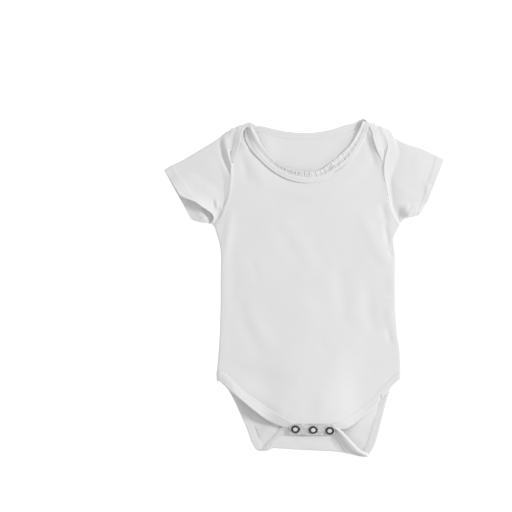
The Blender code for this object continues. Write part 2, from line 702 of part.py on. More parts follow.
def coons(seam, cuff, top, under, s, t):
    """Plan point of a sleeve layer: s from armhole to cuff, t from the top to the underarm."""
    a, c, p, q = curve_at(seam, t), curve_at(cuff, t), curve_at(top, s), curve_at(under, s)
    corners = ((1 - s) * (1 - t), s * (1 - t), (1 - s) * t, s * t)
    ends = (seam[0], cuff[0], seam[-1], cuff[-1])
    return tuple((1 - s) * a[i] + s * c[i] + (1 - t) * p[i] + t * q[i]
                 - sum(w * e[i] for w, e in zip(corners, ends)) for i in (0, 1))


def sleeve_front_z(s, t, puff, lift):
    """Middle of a sleeve's front layer."""
    seam = along(((0, LAP_Z), (0.36, LAP_END_Z), (0.48, 2.8), (1, 2.3)), t)
    body = 3.0 + puff * math.sin(math.pi * min(s, 1)) * math.sin(math.pi * t)
    raised = lift * ease(s) * math.sin(math.pi * min(max((t - 0.12) / 0.86, 0), 1))
    return seam + (body - seam) * ease(s * 2.5) + raised


def sleeve(name, armhole, top, under, cuff_front, cuff_back, side, puff, lift, finish, collection):
    """A flattened tube: its back layer lies on the surface and its front layer over that."""
    stations, across, bend = 9, 15, 3
    seam = spaced(outward(armhole_line(armhole), -side * (SEAM_GAP + 0.15)), 60)
    top, under = (seam[0], *top[1:]), (seam[-1], *under[1:])
    curves = [spaced(spline(curve, 6) if len(curve) > 2 else list(curve), 60)
              for curve in (top, under, cuff_front, cuff_back)]
    top, under, cuff_front, cuff_back = curves
    hem_start = 1 - HEM_SHARE
    shares = [hem_start * k / (stations - 3) for k in range(stations - 2)] + [hem_start + 0.08, 1]
    points, weights = [], []
    for s in shares:
        wall = HEM if s > hem_start + 0.01 else WALL
        low_z = wall / 2
        section = math.dist(coons(seam, cuff_back, top, under, s, 0),
                            coons(seam, cuff_back, top, under, s, 1))
        ring = []
        for end, edge_t in ((1, 1.0), (0, 0.0)):
            high_z = sleeve_front_z(s, edge_t, puff, lift) + low_z - WALL / 2
            radius = (high_z - low_z) / 2
            inset = (radius + wall / 2) / section
            near = edge_t + (inset if end == 0 else -inset)
            back = coons(seam, cuff_back, top, under, s, near)
            front = coons(seam, cuff_front, top, under, s, near)
            rim = coons(seam, cuff_back, top, under, s, edge_t)
            out = Vector((rim[0] - back[0], rim[1] - back[1]))
            out = out.normalized() if out.length > 1e-6 else Vector((0, -1))
            pair = (((*back, low_z),), ((*front, high_z),))
            arc = [p[0] for p in turn_over(*pair, out.x, out.y, bend)]
            ring.append((near, arc, high_z))
        (last_t, under_arc, _), (first_t, top_arc, _) = ring
        layer = [first_t + (last_t - first_t) * k / (across - 1) for k in range(across)]
        hem = [wall / HEM if t < HEM_STOP else WALL / HEM for t in layer]
        loop = [(*coons(seam, cuff_back, top, under, s, t), low_z) for t in reversed(layer)]
        loop += top_arc
        loop += [(*coons(seam, cuff_front, top, under, s, t),
                  sleeve_front_z(s, t, puff, lift) + low_z - WALL / 2) for t in layer]
        loop += under_arc[::-1]
        points += loop
        weights += [*hem[::-1], *[wall / HEM] * len(top_arc), *hem, *[WALL / HEM] * len(under_arc)]
    size = len(points) // len(shares)
    faces = []
    for k in range(len(shares) - 1):
        for i in range(size):
            j = (i + 1) % size
            faces.append((k * size + i, k * size + j, (k + 1) * size + j, (k + 1) * size + i))
    cloth = add_object(name, surface(name, points, faces, side > 0), finish, collection)
    thicken(cloth, HEM, weights)


# ---------------------------------------------------------------- snaps

def snap_ring(name, x, y, finish, collection):
    """Open ring of a press snap, lying on the sloping tab."""
    corner = 0.25
    profile = ((SNAP_OUTER_R - corner, SNAP_HEIGHT), (SNAP_OUTER_R, SNAP_HEIGHT - corner),
               (SNAP_OUTER_R, 0), (SNAP_INNER_R, 0), (SNAP_INNER_R, SNAP_HEIGHT - corner),
               (SNAP_INNER_R + corner, SNAP_HEIGHT))
    mesh = bpy.data.meshes.new(name)
    edges = [(k, (k + 1) % len(profile)) for k in range(len(profile))]
    mesh.from_pydata([(r * MM, 0, z * MM) for r, z in profile], edges, [])
    ring = add_object(name, mesh, finish, collection)
    screw = ring.modifiers.new("turn", "SCREW")
    screw.steps = SNAP_SIDES
    screw.render_steps = SNAP_SIDES
    screw.use_merge_vertices = True
    screw.merge_threshold = 0.00005
    tilt = math.atan(TAB_SLOPE)
    up = HEM / 2 + 0.3
    ring.rotation_euler = (tilt, 0, 0)
    ring.location = Vector((x, y - up * math.sin(tilt), tab_z(y) + up * math.cos(tilt))) * MM


def main():
    for old in list(bpy.data.objects):
        bpy.data.objects.remove(old, do_unlink=True)
    onesie = bpy.data.collections.new("onesie")
    bpy.context.scene.collection.children.link(onesie)
    jersey = material("white_jersey", CLOTH_COLOUR, 0.9, 0)
    metal = material("snap_metal", METAL_COLOUR, 0.35, 1)
    back_panel(jersey, onesie)
    front_panel(jersey, onesie)
    sleeve("sleeve_left", LEFT_ARMHOLE, LEFT_SLEEVE_TOP, LEFT_SLEEVE_UNDER, LEFT_CUFF_FRONT,
           LEFT_CUFF_BACK, 1, 2.6, CUFF_LIFT_LEFT, jersey, onesie)
    sleeve("sleeve_right", RIGHT_ARMHOLE, RIGHT_SLEEVE_TOP, RIGHT_SLEEVE_UNDER, RIGHT_CUFF,
           RIGHT_CUFF, -1, 1.8, CUFF_LIFT_RIGHT, jersey, onesie)
    neck_band_back(jersey, onesie)
    neck_band_front(jersey, onesie)
    leg_band("leg_band_left", LEFT_LEG_FRONT, LEFT_LEG_BACK, LEFT_LEG_EXTENSION, -1, jersey, onesie)
    leg_band("leg_band_right", RIGHT_LEG_FRONT, RIGHT_LEG_BACK, RIGHT_LEG_EXTENSION, 1, jersey,
             onesie)
    for number, (x, y) in enumerate(SNAP_CENTRES, 1):
        snap_ring(f"snap_ring_{number}", x, y, metal, onesie)


main()
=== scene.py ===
"""Looks of a short-sleeved envelope-neck baby bodysuit, laid flat with its front up.

Lengths in the tables and shapes are millimetres, and meshes are made in metres. The wearer's neck
is towards +Y and +Z is up from the surface. Each cut piece of jersey is a thin closed shell on the
form of its solid, with its folds, seams, hems and stitches.
"""
import math

import bmesh
import bpy
import numpy as np
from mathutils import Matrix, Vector, geometry


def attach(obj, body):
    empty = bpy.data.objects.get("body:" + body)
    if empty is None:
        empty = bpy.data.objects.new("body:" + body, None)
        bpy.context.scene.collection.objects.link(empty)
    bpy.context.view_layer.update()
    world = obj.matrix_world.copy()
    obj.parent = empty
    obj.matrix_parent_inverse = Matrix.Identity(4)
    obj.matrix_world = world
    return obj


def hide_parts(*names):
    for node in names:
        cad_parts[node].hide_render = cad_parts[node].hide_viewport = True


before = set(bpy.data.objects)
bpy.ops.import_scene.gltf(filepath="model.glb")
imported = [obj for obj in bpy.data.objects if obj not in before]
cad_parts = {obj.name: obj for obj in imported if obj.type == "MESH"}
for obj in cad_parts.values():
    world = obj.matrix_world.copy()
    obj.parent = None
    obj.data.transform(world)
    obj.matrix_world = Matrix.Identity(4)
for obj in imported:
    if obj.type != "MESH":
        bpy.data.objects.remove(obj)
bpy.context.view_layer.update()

MM = 0.001
BODY = "root"

# ---------------------------------------------------------------- sizes

# Cloth
JERSEY = 0.9              # one layer
TAB_WALL = 1.7            # the turned layers of the snap tab
PANEL_STEP = 2.1          # spacing of a panel's points
EDGE_STEP = 1.9

# Heights of the middle of each layer above the surface
BACK_Z = JERSEY / 2
BINDING_Z = 0.9
FRONT_EDGE_Z = 2.1
SIDE_EDGE_Z = 4.3         # the front where it meets the back at the side seam
EXTENSION_Z = 3.2
LAP_Z = 5.2
LAP_END_Z = 4.0
FRONT_PUFF = 2.2
PUFF_REACH = 0.4          # how fast the front rises from its side edges
EDGE_DROP = 0.35          # share of its height that it loses there

# Crotch tab: the front rises to a ridge and slopes down from there
RIDGE_Y = -157.5
RIDGE_Z = 13.0
RISE_START_Y = -38.0
RISE_MIDDLE_X, RISE_REACH = 8.0, 45.0
LEFT_RISE, RIGHT_RISE = 0.36, 0.2         # share of the rise left at each leg
TAB_SLOPE = math.tan(math.radians(27))
TAB_LEFT_X, TAB_RIGHT_X = -18.8, 36.3
TAB_OUTLINE = (           # left side, lower edge, right side: columns x, y
    (-18.8, -162), (-18.8, -166.5), (-18.4, -170.9), (-10, -171.5), (0, -172), (10, -172.1),
    (20, -171.8), (28, -171.5), (35.9, -170.9), (36.3, -166.5), (36.3, -162.2))
TAB_INSET = 1.4
EXTENSION_END_Y = -162.0
TAB_LAYER_DROP = 2.2
RIDGE_ROUNDING = 0.9

# Snaps: columns x, y, height of the cloth that stands up inside the ring
SNAPS = ((-10.2, -164.4, 0.12), (10.4, -165.2, 1.15), (29.8, -166.2, 0.35))
SNAP_OUTER_R, SNAP_INNER_R, SNAP_HEIGHT = 5.2, 2.8, 1.2

# Outlines: columns x, y
LEFT_SIDE = ((-104.1, 71.1), (-101.5, 61.7), (-98.6, 52), (-96.8, 37), (-97.1, 9), (-97.3, -25),
             (-98.9, -67), (-101.4, -96.2))
RIGHT_SIDE = ((111.4, 72.2), (107.6, 65), (104.3, 57), (105.3, 47.7), (106.5, 34), (106.5, -15),
              (108.8, -54), (111.6, -70), (113, -95.2))
LEFT_ARMHOLE = ((-83.3, 186.2), (-86.6, 175.2), (-87.8, 163.5), (-87.2, 155.3), (-84.6, 142),
                (-84.2, 131.9), (-85.4, 120.2), (-87.2, 107), (-91.3, 96), (-95.9, 85.1),
                (-100.6, 76.9), (-104.1, 71.1))
RIGHT_ARMHOLE = ((89, 188.4), (93.6, 178.7), (96.2, 170.5), (96.6, 163.5), (95, 158), (93.6, 151.8),
                 (92.4, 142), (92.6, 131.9), (94.8, 119), (97.7, 105), (100.8, 93.3), (105.3, 82.8),
                 (111.4, 72.2))
LAP_SEAM_TOP_Y, LAP_SEAM_LOW_Y, LAP_BAND_LOW_Y = 181, 158, 160
LAP_FROM_Y, LAP_FROM_X = 120, 70          # the laps lie above the one and outside the other

# Outer edge of the folds, y at each x
LEFT_SHOULDER = ((-92, 181.8), (-83, 186.3), (-77, 189.3), (-70, 192.3), (-63.5, 194.5), (-50, 194))
RIGHT_SHOULDER = ((58, 197), (66, 197.4), (70.5, 197.8), (75, 196), (80, 193), (89, 188.5),
                  (98, 184))
BOTTOM_FOLD = ((-70, -191.6), (-55, -191.6), (-44, -190.9), (-40, -189.8), (-36.4, -187.4),
               (-20, -188.4), (-3.5, -189.6), (30, -191),
               (46, -192.8), (55, -194.8), (61, -196.5), (66, -197.2), (90, -197.6))

# Neck binding of the back, from lap to lap: columns edge x, edge y, seam x, seam y
BACK_NECK = (
    (-82.3, 146.5, -85.3, 147.2), (-79.8, 152.5, -86.2, 152.5), (-77.2, 161.2, -85, 161.6),
    (-74.3, 170.5, -82.8, 171.6), (-72, 180, -80.4, 181), (-57.5, 190.5, -66.5, 182.5),
    (-49, 189.2, -53, 180), (-37, 186.3, -39, 176.6), (-20, 182.8, -21, 173.4),
    (0, 181.4, 0, 172), (18, 182.4, 19, 173), (34, 185.8, 37, 176.8),
    (48, 190.4, 53.5, 182.4), (61, 194, 69.5, 186.5), (77.4, 184.6, 86, 185.4),
    (79.8, 175.2, 88.8, 176), (83.4, 163.5, 92.4, 164.4), (87, 155, 94, 155.4),
    (90, 147.6, 92.9, 148),
)

# Neck binding of the front: columns edge x, edge y, seam x, seam y, height of its gathers,
# how far its edge lifts, how far its seam sinks
FRONT_NECK = (
    (-60.8, 188.4, -69.6, 186, 0, 3.6, 0.1), (-58.6, 184, -69.4, 180.4, 0, 4.6, 0.1),
    (-55.4, 178.4, -68.4, 173, 0, 4.6, 0), (-49.2, 166.4, -62.4, 161.4, 0.2, 2.2, -0.3),
    (-40.2, 154.6, -51.4, 149.2, 0.5, 0.5, -0.4), (-28.4, 144.2, -37, 136.4, 0.8, 0.8, -0.4),
    (-15.4, 138.2, -20, 127, 1.2, 1.3, -0.3), (-3, 135.8, -3.6, 122.8, 1.3, 1.5, -0.2),
    (9, 135.6, 10, 123, 1.1, 1.3, -0.1), (19.4, 138.2, 24.4, 126.6, 1.1, 0.6, 0.1),
    (29, 145, 37.2, 133, 1.6, 0.6, 0.4), (38.6, 152.6, 48.6, 140.6, 1.5, 0.9, 0.6),
    (48, 160.8, 58.6, 152.8, 1.2, 1.6, 0.7), (55.2, 169, 66.2, 165.4, 0.8, 1.5, 0.5),
    (60.6, 178, 71.4, 176, 0.5, 1.2, -0.2), (64.6, 186, 74.2, 184, 0.1, 0.8, -0.4),
    (68.4, 194.8, 77, 192.2, 0, 0.3, -0.8),
)
FRONT_NECK_MIN_Z = 3.0

# Leg bindings over the front: columns edge x, edge y, seam x, seam y, edge drop
LEFT_LEG_FRONT = (
    (-17.6, -162.4, -11.6, -157.2, 1.2), (-26, -161.6, -18.6, -153.4, 2.2),
    (-36.5, -157.6, -28.4, -148.3, 1.8), (-45.6, -152.6, -41.4, -140.8, -1.5),
    (-54.4, -146, -55, -130.6, -4.8), (-66, -136.6, -70.6, -120.4, -6),
    (-79.2, -125.6, -84, -107, -5.2), (-90.4, -116.4, -92.6, -99.6, -2.2),
    (-98.6, -109, -99.2, -97.2, 0),
)
RIGHT_LEG_FRONT = (
    (35.4, -163.2, 29.4, -157.4, 0.6), (44.4, -165.2, 36.8, -155.4, 1.6),
    (52.6, -162.8, 45.4, -151.6, 1.8), (63.2, -155, 56, -145, 1.6),
    (74.4, -146.4, 68, -136.4, 1.4), (85.4, -135.8, 80.4, -126, 0.6),
    (94.6, -124.4, 92, -114, 0.4), (103.4, -114.6, 102.4, -103.4, 0.2),
    (110.4, -108, 110.8, -96.4, 0),
)
# Over the back, from the hip to the bottom fold: columns edge x, edge y, seam x, seam y
LEFT_LEG_BACK = (
    (-98.6, -109, -99.2, -97.2), (-93, -114.6, -89.6, -99.4), (-87.2, -121.8, -79.4, -109.6),
    (-80, -135.6, -70.2, -127.6), (-74.2, -148.6, -63.8, -143.4), (-67.6, -163.4, -57, -159.2),
    (-62.2, -178.6, -51.6, -175), (-56.6, -189.1, -45.2, -189.1),
)
RIGHT_LEG_BACK = (
    (110.4, -108, 110.8, -96.4), (105.6, -112.2, 101.6, -98.4), (100.6, -119.8, 92.6, -107),
    (97.4, -130.4, 87.4, -122.6), (93.4, -145.8, 82.6, -141.8), (90, -159.4, 79.2, -156.8),
    (86.6, -172.4, 75.8, -169.8), (82.8, -184.4, 72, -181.6), (76.4, -195.3, 63.8, -194.8),
)
# Up the crotch extension to the tab: columns edge x, edge y, edge z, seam x, seam y, seam z
LEFT_LEG_EXTENSION = (
    (-48.6, -189.1, 2.2, -39.4, -188.6, 3.6), (-46.8, -182.6, 0.6, -37.6, -182.6, 3.8),
    (-41, -176, 1, -33, -177.4, 4), (-34.4, -168.6, 2.8, -26.6, -172, 4.7),
    (-26.6, -162.2, 5.8, -20.6, -168, 5.9), (-18.6, -158, 9.2, -16.4, -166, 7),
)
RIGHT_LEG_EXTENSION = (
    (74.6, -193.2, 6.8, 62, -195.6, 3.6), (65.8, -188.8, 10.4, 52.6, -193, 3.8),
    (58.4, -181.9, 11.4, 46.8, -188.6, 4.1), (51.6, -174.6, 11.3, 42, -182, 4.3),
    (45.4, -167.9, 10.1, 38.4, -175.2, 4.7), (39.2, -162.6, 9, 35.4, -169.6, 5),
    (32.6, -159.4, 8.6, 31.2, -167, 5.5),
)

# Sleeves: columns x, y
LEFT_SLEEVE_TOP = ((-83.7, 186.6), (-93.6, 179.9), (-101.8, 173.2), (-115.8, 164.7),
                   (-127.5, 157.7), (-141.6, 149.5), (-155, 143.2), (-163.6, 137.6))
LEFT_CUFF_FRONT = ((-163.6, 137.6), (-148.4, 113), (-144.4, 107.4), (-137.6, 104.2),
                   (-127.5, 100.4), (-119.6, 94.8), (-111.8, 89.8), (-106.8, 85.4), (-106, 80),
                   (-110.2, 75.4))
LEFT_CUFF_BACK = ((-163.6, 137.6), (-150.9, 114.4), (-140.6, 96), (-132.6, 81.2), (-126.4, 77.8),
                  (-118, 76), (-110.2, 75.4))
LEFT_SLEEVE_UNDER = ((-104.6, 71.4), (-107.2, 73.6), (-110.2, 75.4))
RIGHT_SLEEVE_TOP = ((89.4, 188.7), (95.9, 186.6), (101, 183), (105, 176.6), (114.7, 170.5),
                    (124, 167), (135.7, 163.5), (147.4, 158.2), (163.8, 150.6))
RIGHT_CUFF = ((163.8, 150.6), (159.1, 137.8), (154.4, 126.1), (149.8, 114.4), (145.1, 102.7),
              (140.4, 94.8), (133.4, 84))
RIGHT_SLEEVE_UNDER = ((111.8, 72.4), (114.7, 76.9), (118.6, 80.4), (126.4, 82.6), (133.4, 84))
HEM_WIDTH = 11
SLEEVE_HEM = 1.15         # its two layers

# ---------------------------------------------------------------- folds placed one by one
# columns x and y of both ends, bow to the left of that direction, height, half width

FRONT_FOLDS = (
    (70, 206, 89.6, 142, 0, 2.7, 4.8),  # under the right lap
    (67, 200, 85.6, 138, 0, -0.9, 4.2),
    (-84, 94, -95.5, 22, 0, 1.3, 5.2),  # down the left side from the armpit
    (-91, 40, -95, -96, 0, 0.3, 5.5), (-80, 40, -84, -30, 0, -0.3, 6),
    (-74, 170, -64.4, 160.5, 0, 0.9, 2.2),  # where the front slips under the left lap
    (-78, 166, -66, 122, 2, -0.8, 4.5), (-65, 156, -46, 112, 2, 0.55, 7),
    (66, 90, 105, 16, -3, 1, 9),  # from the right armpit
    (56, 74, 90, 10, -3, 0.25, 8), (91, 100, 97, 72, 0, -0.9, 3.2),
    (94, 76, 99, 47, 0, -1.3, 2.8),  # pinches below it
    (99.5, 45, 104, 33, 0, -0.7, 2.4), (88, 98, 92, 78, 0, -0.5, 4), (101, 20, 104, -8, 0, 0.7, 6),
    (90, -12.6, 107, -12.9, 0, 0.5, 1.6), (99, -20, 103, -46, 0, 0.8, 6),
    (66, -14, 86, -54, 0, -0.4, 8), (97, -46, 101.5, -66, 0, -0.8, 3),
    (-97, -90, -8, -109, -3, -0.9, 9),  # valley above the left leg
    (-94, -112, -20, -145, 2, 2.1, 11), (23, -118, 17, -156, 0, 0.8, 9),
    (-80, -8, -47, -84, -3, -0.6, 9),  # long soft step on the left
    (-68, -14, -36, -78, -3, 0.7, 10), (-64, 38, -52, 4, 0, -0.32, 5),
    (-37, 76, 4, 20, -2, -0.42, 9), (-26, 86, 14, 26, -2, 0.3, 9), (9, 62, 27, 12, 0, -0.36, 8),
    (40, 32, 49, -50, 0, -0.5, 8), (-12, 6, 22, -66, 2, 0.3, 11), (10, -48, 32, -82, 0, -0.4, 9),
    (22, 48, 34, -44, 0, 0.22, 9), (60, 14, 64, -40, 0, 0.3, 8), (74, 12, 78, -56, 0, -0.45, 7),
    (50, -46, 68, -92, 0, 0.3, 10), (30, -84, 78, -106, 4, 0.4, 10),
    (-40, 100, 8, 98, 3, -0.25, 5),
)
BACK_FOLDS = (            # inside of the back, seen in the leg openings
    (-62, -152, -46, -180, 0, 0.4, 5), (-84, -118, -60, -150, 0, 0.5, 6),
    (-76, -138.4, -63, -145.6, 0, 0.9, 1.3), (50, -170, 72, -184, 0, 0.4, 6),
    (44, -180, 102, -108, 0, 2.4, 9), (-44, -197, -20, -150, 0, 1.6, 8),
    (-54, -171, -16, -152, 0, 3.3, 7),  # where it is drawn up to the tab
    (36, -168, 54, -192, 0, 0.9, 5.5),  # and up to the right leg
)
BACK_NECK_RISE = (        # of the back inside the neck
    (2, 134.5, 42, 155.5, -4, 1.6, 5), (28, 138, 75, 200, -5.5, 2, 7),
    (-50, 182, -38, 146, 0, 1.4, 11),
)
EXTENSION_FOLDS = (
    (35, -170, 47, -195, -1.5, 1.3, 2.6), (-30, -180, 44, -188, 2, 0.5, 4),
    (-6, -176, 40, -182, -1, -0.4, 4), (-38, -184, -14, -177, 0, 0.35, 3),
)
LEFT_SLEEVE_FOLDS = (
    (-99.6, 179, -84.8, 132, -1.8, -4.2, 3.2),  # pinch beside the lap
    (-95.2, 177, -82.8, 138, -0.7, 2.6, 1.5), (-103, 184, -96, 158, 0, 0.8, 3),
    (-94, 192, -91, 164, 0, 3.2, 2.8), (-132, 132, -96, 112, 3, -0.5, 5),
    (-128, 118, -100, 106, 3, 0.6, 6), (-120, 150, -104, 138, 0, 0.5, 5),
    (-140, 130, -122, 128, 0, 0.3, 5), (-106.4, 103, -105, 92, 0, -0.9, 2),
    (-102.4, 104, -101, 90, 0, 1.5, 2), (-98.6, 98, -94.4, 88, 0, 1.3, 1.7),
    (-100, 94, -103, 80, 0, -0.9, 2.2),
    (-156, 143.4, -129, 103, 0, 0.9, 1.1),  # along the hem's seam
)
LEFT_SLEEVE_INSIDE = (    # of its back layer, seen in the open cuff
    (-106, 102, -117, 74, 0, 2.4, 5), (-114, 105, -124, 74, 0, 2.8, 8),
    (-113, 85, -122, 79, 0, 0.8, 1.4),
)
RIGHT_SLEEVE_FOLDS = (
    (128, 166, 122, 140, 0, -0.4, 5), (138, 150, 128, 116, 0, 0.35, 7),
    (112.6, 71, 108.6, 89, 0, -1.3, 1.7), (112.8, 70, 114, 93, 0, 1.3, 1.8),
    (114, 75, 126.4, 99, 0, -1.8, 2.4), (121, 80, 134, 95, 0, 0.6, 2.4),
    (116, 79, 136, 85.8, 0, -2.2, 3.2), (123, 80, 128.5, 93, 0, -1.5, 1.7),
    (144, 122.5, 157, 117.5, 0, -0.45, 1.8), (141, 126, 146, 104, 0, 0.4, 2.6),
    (112, 112, 138, 104, 0, 0.4, 7),
)

# ---------------------------------------------------------------- forms

# Front: where its form changes, and over what distance
UPPER_PUFF = 0.5
RISE_HEIGHT = RIDGE_Z - FRONT_EDGE_Z - FRONT_PUFF + 0.4
RISE_FADE = 40                            # from the rise of one leg to that of the other
ARMPIT_Y, ARMPIT_FADE = 86, 12            # its side edges drop below here
CHEST_Y, CHEST_FADE = 108, 50             # its full puff ends here
SIDE_EDGE_TOP_Y, SIDE_EDGE_FADE = 78, 14
EDGE_ROLL = 0.5                           # how near its side edges it is at its full height
SEAM_SPREAD = 5.5                         # how far an armhole seam lifts the cloth beside it
CALM_SIDE, CALM_RIDGE = 14, 12            # its unevenness fades out over these
NECK_DIP, NECK_DIP_WIDTH = 0.95, 3.4      # along the neck seam, fading out to the right
NECK_DIP_END_X, NECK_DIP_FADE = 42, 30
NECK_SWELL, NECK_SWELL_AT, NECK_SWELL_WIDTH = 0.4, 13, 7.0        # beside it
PUCKER_R, PUCKER_WIDTH = 6.4, 1.9         # ring of puckers round a snap
SEAM_RISE = (             # how far the armhole seams stand up: columns y, left, right
    (70, 0.1, 0), (84, 0.2, 0.1), (110, 0.3, 0.5), (140, 0.8, 1.2), (160, 0.7, 1.2),
    (185, 0.3, 0.3))
LAP_CURL = (              # how far each lap's free edge lifts: columns y, left, right
    (146, 0, 0.5), (152, 0.6, 1.8), (160, 1.4, 2.3), (170, 2.0, 1.4), (180, 1.4, 0.2),
    (190, 0, 0))
LAP_EDGE_X = -77.5, 82.5
LAP_LOW_Y, LAP_LENGTH = 142, 40

# Back: where its folds show in the leg openings and inside the neck, and on its extension
SEAT_TOP_Y, NECK_RISE_LOW_Y, NECK_RISE_END_Y, NECK_RISE_FADE = 150, 130, 193, 12
EXTENSION_TOP_Y, EXTENSION_LOW_Y, EXTENSION_FADE = -160, -189, 5
TURNED_Z = 2.6            # cloth above this has turned over

# Layout of the panels' points
TAB_GRID_X, TAB_GRID_Y = (-38, 56, 1.4), (-172, -152, 1.1)     # from, to, step
TAB_TOP_Y, TAB_EDGE_STEP = -152.4, 1.2
EDGE_ROWS = EDGE_ROLL, 1.3                # of points beside the front's side edges
FINE_GAP, LEAST_STEP = 0.4, 0.25          # from an outline to a fine point, and along it
SHOULDER_INSET, SHOULDER_ARC, BEND_MARGIN = 2.8, math.pi * 2.4, 0.8
KNIT_UNIT = 100           # millimetres of cloth in one unit of the UV map

# Bindings. Half thickness: columns share of the width from the seam, millimetres
NECK_PROFILE = ((0, 0.3), (0.015, 0.7), (0.06, 0.85), (0.14, 0.9), (0.2, 0.8), (0.25, 0.62),
                (0.3, 0.8), (0.4, 0.84), (0.46, 0.7), (0.52, 0.45), (0.58, 0.36), (0.65, 0.45),
                (0.72, 0.62), (0.8, 0.85), (0.87, 1.0), (0.94, 0.95), (0.98, 0.65), (0.999, 0.3))
LEG_PROFILE = ((0, 0.1), (0.04, 0.3), (0.09, 0.42), (0.14, 0.34), (0.2, 0.5), (0.3, 0.68),
               (0.42, 0.82), (0.54, 0.88), (0.61, 0.76), (0.66, 0.88), (0.78, 0.95),
               (0.9, 0.9), (0.965, 0.68), (0.995, 0.35))
BACK_NECK_PROFILE = ((0, 0.1), (0.08, 0.18), (0.16, 0.24), (0.25, 0.36), (0.38, 0.5), (0.5, 0.58),
                     (0.61, 0.5), (0.68, 0.6), (0.8, 0.68), (0.92, 0.64), (0.97, 0.46),
                     (0.995, 0.22))
ARMHOLE_PROFILE = ((0, 0.06), (0.1, 0.28), (0.22, 0.42), (0.36, 0.36), (0.5, 0.2),
                   (0.64, 0.36), (0.78, 0.42), (0.9, 0.28), (1.0, 0.06))
UNDER_BINDING = 0.2       # share of a binding's width that the panel runs in under it
SEAM_TUCK, TUCK_WIDTH = 0.35, 0.12        # how deep a binding's seam sinks, and its share of it
NECK_HOLLOW, NECK_HOLLOW_X, NECK_HOLLOW_FADE = 1.25, -46, 11      # dip by the left shoulder
GATHER_COUNT, GATHER_PITCH, GATHERS_FROM = 300, 2.2, 0.4
RAIL_STEP, NECK_RAIL_STEP, TURN_PARTS = 1.3, 0.48, 9
HIP_Z = BINDING_Z * 3 + 0.5
LEG_SEAM_RISE = {-1: 0.95, 1: 0.5}        # of each leg's binding over the front
RIGHT_LEG_NICKS = ((90.6, -130, 1.9, 1.1),)       # columns x, y, depth, half width
ARCH_ROLL, ARCH_Z, ARCH_FADE = 2.2, 4.2, 2.5      # how the right one rolls, and from what height
PRESSED, PRESSED_Z, PRESSED_FADE = 0.6, 4, 3      # thinning of the left one, up to that height

# Sleeves. Form of the front layer: how far it puffs up, how high its cuff lifts, how high its
# underside rolls; its height at the seam and how far out it goes on falling from there, each at
# shares of the armhole from the shoulder to the armpit
LEFT_FORM = {"puff": 0.5, "lift": 9.0, "roll": 0.0, "low": 3.1,
             "seam": ((0, LAP_Z), (0.15, 5.6), (0.3, 5.8), (0.5, 5.6), (0.75, 5.0), (1, 3.4)),
             "fall": ((0, 18), (0.4, 18), (0.63, 18), (0.8, 14), (1, 9))}
RIGHT_FORM = {"puff": 2.0, "lift": 0.6, "roll": 7.0, "low": 2.6,
              "seam": ((0, LAP_Z), (0.15, 5.3), (0.3, 5.5), (0.42, 5.4), (0.55, 4.9), (0.7, 4.5),
                       (0.85, 4.3), (1, 3.8)),
              "fall": ((0, 24), (0.3, 23), (0.42, 19), (0.52, 12), (0.65, 9), (0.8, 8), (1, 7))}
SLEEVE_DRAPE = 1.4        # its unevenness is this much finer than the body's
SWELL_LENGTH = 30         # over which a sleeve comes to its full puff
LIFT_FROM, LIFT_SPAN = 0.12, 0.86         # shares of its depth where its cuff lifts
ROLL_WIDTH = 0.045        # share of its depth over which its underside rolls
SLEEVE_STATIONS, SLEEVE_ACROSS, SLEEVE_BEND = 37, 64, 9
HEM_SHARES = (0.06, 0.14, 0.3, 0.5, 0.7, 0.86, 0.95, 1)
HEM_STITCH = 1            # which of these is the hem's stitch line
LAYER_GAP = 0.25          # least gap between the two layers

# Seams and stitches
CORD_HALF_WIDTH, CORD_RISE = 1.7, 0.36    # of the armhole seams
SIDE_SEAM_STEP, SIDE_SEAM_SIDES = 1.6, 8
SIDE_SEAM_INSET, SIDE_SEAM_HALF_WIDTH = 0.65, 0.6
SIDE_SEAM_Z, SIDE_SEAM_HALF_HEIGHT = 2.25, 2.05
SIDE_SEAM_OVERLAP = 0.9   # steps that it runs on under the armhole and the leg binding
NECK_STITCHES, BINDING_STITCHES = (0.25, 0.6), (0.17, 0.61)
THREAD_LIFT = 0.02
WALE_PITCH, COURSE_PITCH = 0.85, 1.1      # from rib to rib of the jersey, and along a rib

# Stage: metres, degrees from +X towards +Y and up, watts
FLOOR_HALF = 3000         # millimetres
SKY_STRENGTH = 0.68
KEY_AZIMUTH, KEY_ELEVATION = 15, 35
KEY_DISTANCE, KEY_SIZE, KEY_POWER = 2.2, 0.55, 26.5
CAMERA_PLACE = (-0.0562, 0.0371, 3.0)
VIEW_WIDTH = 0.5985       # of the surface across the picture
SENSOR_WIDTH = 36


# ---------------------------------------------------------------- curves

def spline_point(knots, t):
    """The point at t between the middle two of four knots."""
    weights = (-t + 2 * t * t - t ** 3, 2 - 5 * t * t + 3 * t ** 3,
               t + 4 * t * t - 3 * t ** 3, t ** 3 - t * t)
    return tuple(sum(w * v for w, v in zip(weights, column)) / 2 for column in zip(*knots))


def spline(rows, steps):
    """Points on a smooth curve through rows of numbers, with this many steps between rows."""
    first, last = (tuple(2 * a - b for a, b in zip(rows[i], rows[j]))
                   for i, j in ((0, 1), (-1, -2)))
    knots = [first, *rows, last]
    points = [spline_point(knots[i:i + 4], k / steps)
              for i in range(len(rows) - 1) for k in range(steps)]
    return [*points, tuple(rows[-1])]


def length_of(points):
    return sum(math.dist(a, b) for a, b in zip(points, points[1:]))


def distances(path):
    """How far along a path each of its points is."""
    return np.concatenate(([0], np.cumsum(np.linalg.norm(np.diff(path, axis=0), axis=1))))


def resampled(table, path, count):
    """The rows of a table at count + 1 equal distances along its path."""
    walked = distances(path)
    wanted = np.linspace(0, walked[-1], count + 1)
    return np.stack([np.interp(wanted, walked, column) for column in table.T], axis=1)


